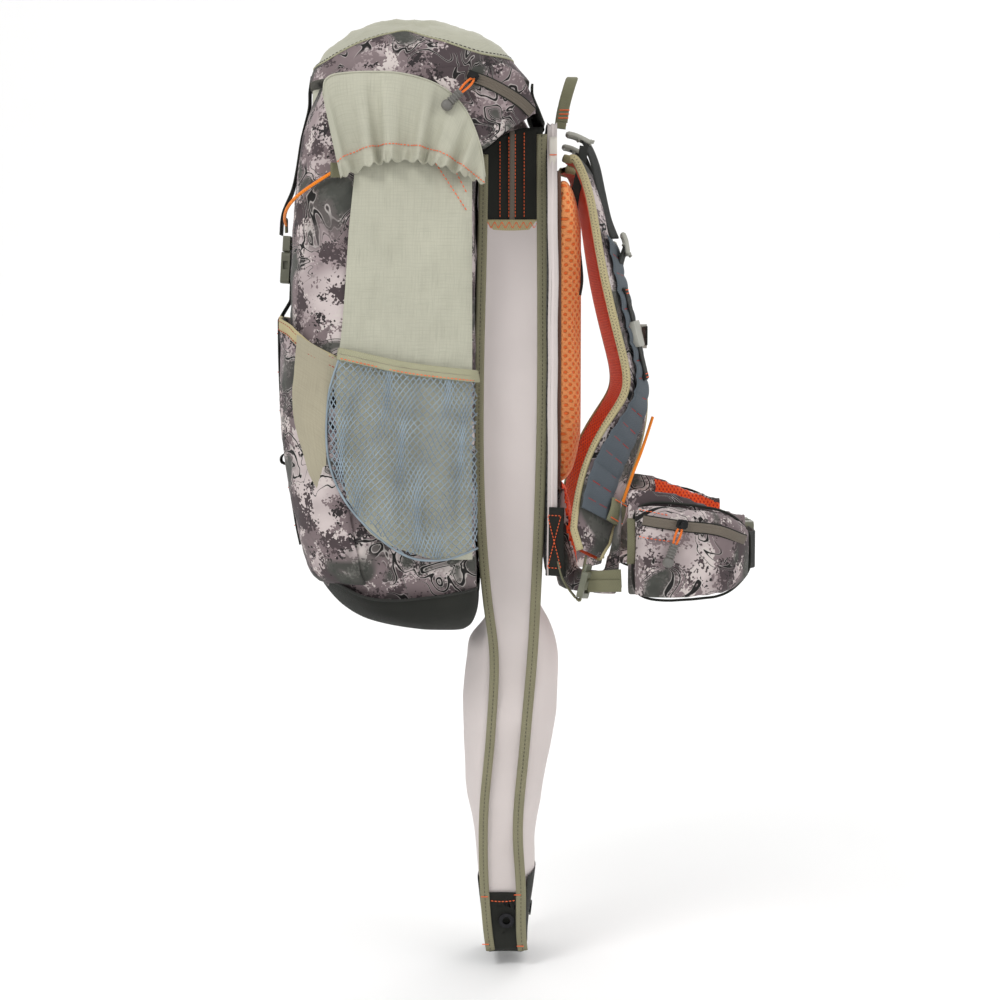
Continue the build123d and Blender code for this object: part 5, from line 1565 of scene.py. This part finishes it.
thread.make("front_tacks", THREAD, slot="orange_cord")
ends = Batch()
for x, y, z, way in ((-234, -150.6, -104, (0.3, -1, 0)), (-292.6, -53, -151.5, (-1, 0, 0))):
    tab = np.array([(x, y, z - 7), (x, y - 0.6, z), (x, y, z + 7)])
    ends.add(*sweep(curve(tab, 10), flat(12, 2.4), way))
ends.both("cord_tabs", OLIVE_WEB, slot="olive_webbing")


# ---- zip pulls ----
def zip_cord(start, way, length, lean):
    """A doubled cord loop, a ribbed grip and a round end, as three batches."""
    start, way, lean = np.asarray(start, float), np.asarray(way, float), np.asarray(lean, float)
    way /= np.linalg.norm(way)
    lean /= np.linalg.norm(lean)
    strands, grip, knob = Batch(), Batch(), Batch()
    reach = length - 22
    for sign in (-1, 1):
        path = curve([start, start + way * 3 + lean * sign * 1.8,
                      start + way * reach * 0.5 + lean * sign * 2.4,
                      start + way * reach + lean * sign * 1.3,
                      start + way * (reach + 8) + lean * sign * 1.0], 24)
        strands.add(*sweep(path, round_(1.15, 8), np.cross(way, lean)))
    rings = []
    for k in range(5):
        rings += [(k * 2.9, 3.4), (k * 2.9 + 0.7, 4.7), (k * 2.9 + 1.7, 4.7), (k * 2.9 + 2.4, 3.4)]
    line = np.array([start + way * (reach - 2 + s) for s, _ in rings])
    grip.add(*sweep(line, round_(1.0, 14), np.cross(way, lean), [r for _, r in rings]))
    a = np.linspace(0.12, math.pi - 0.12, 10)
    line = np.array([start + way * (reach + 16.5 - 5.4 * math.cos(b)) for b in a])
    knob.add(*sweep(line, round_(1.0, 14), np.cross(way, lean), 5.6 * np.sin(a) ** 0.8))
    return strands, grip, knob


strands, grip, knob = zip_cord((-101, -166.5, -18), (-0.72, -0.05, -0.72), 42, (0.7, 0.1, -0.7))
CORD_THIN = braid_paint("pull_cord", rgb(240, 120, 40))
strands.make("lid_pull_cord", CORD_THIN, "lid_pull", replaces=("lid_zip_pull",), slot="orange_cord")
grip.make("lid_pull_grip", TOGGLE, "lid_pull", slot="zip_pull")
knob.make("lid_pull_knob", TOGGLE, "lid_pull", slot="zip_pull")
strands, grip, knob = zip_cord((97.5, -192, -446), (-0.33, 0.0, -0.94), 42, (0.94, 0.1, -0.33))
strands.both("belt_pull_cord", CORD_THIN, "right_pull", replaces=("belt_zip_pull_right",), slot="orange_cord")
grip.both("belt_pull_grip", TOGGLE, "right_pull", slot="zip_pull")
knob.both("belt_pull_knob", TOGGLE, "right_pull", slot="zip_pull")

# ---- carried-over CAD parts ----
FINISH = {"lid_buckle_female": BUCKLE, "lid_buckle_male": BUCKLE, "belt_buckle_female": BUCKLE,
          "belt_buckle_male": BUCKLE,
          "sternum_buckle_female": GREY_PLASTIC, "sternum_buckle_male": GREY_PLASTIC,
          "sternum_slider_right": GREY_PLASTIC,
          "sternum_slider_left": GREY_PLASTIC, "ladder_locks": BUCKLE, "cord_lock_button": TOGGLE,
          "collar_drawcord": CORD,
          "lid_zip_slider": SLIDER, "belt_zip_slider_right": SLIDER, "belt_zip_slider_left": SLIDER,
          "scabbard_eyelets": EYELET, "frame_stays": STAY, "frame_sheet": SHEET}
for node, paint in FINISH.items():
    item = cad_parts[node]
    item.data.materials.clear()
    item.data.materials.append(paint)

# ---- floor ----
floor_z = cad_box[0][2] / MM - 14
plan = curve([(-6000, floor_z), (0, floor_z), (1700, floor_z), (2300, floor_z + 120),
              (2750, floor_z + 700), (2850, floor_z + 2600),
              (2850, floor_z + 6000)], 60)
grid = np.array([[(x, y, z) for x in (-5000, 5000)] for y, z in plan])
studio = Paint("studio_floor", 0.9)
studio.colour(studio.mix(studio.noise(studio.spot, 3, 2), (0.95, 0.95, 0.947, 1), (0.97, 0.97, 0.967, 1)))
floor_mesh = bpy.data.meshes.new("floor")
floor_mesh.from_pydata((grid.reshape(-1, 3) * MM).tolist(), [],
                       [tuple(map(int, f)) for f in quads(*grid.shape[:2])])
floor_mesh.materials.append(studio.material)
floor_mesh.polygons.foreach_set("use_smooth", [True] * len(floor_mesh.polygons))
floor_piece = bpy.data.objects.new("floor", floor_mesh)
scene.collection.objects.link(floor_piece)
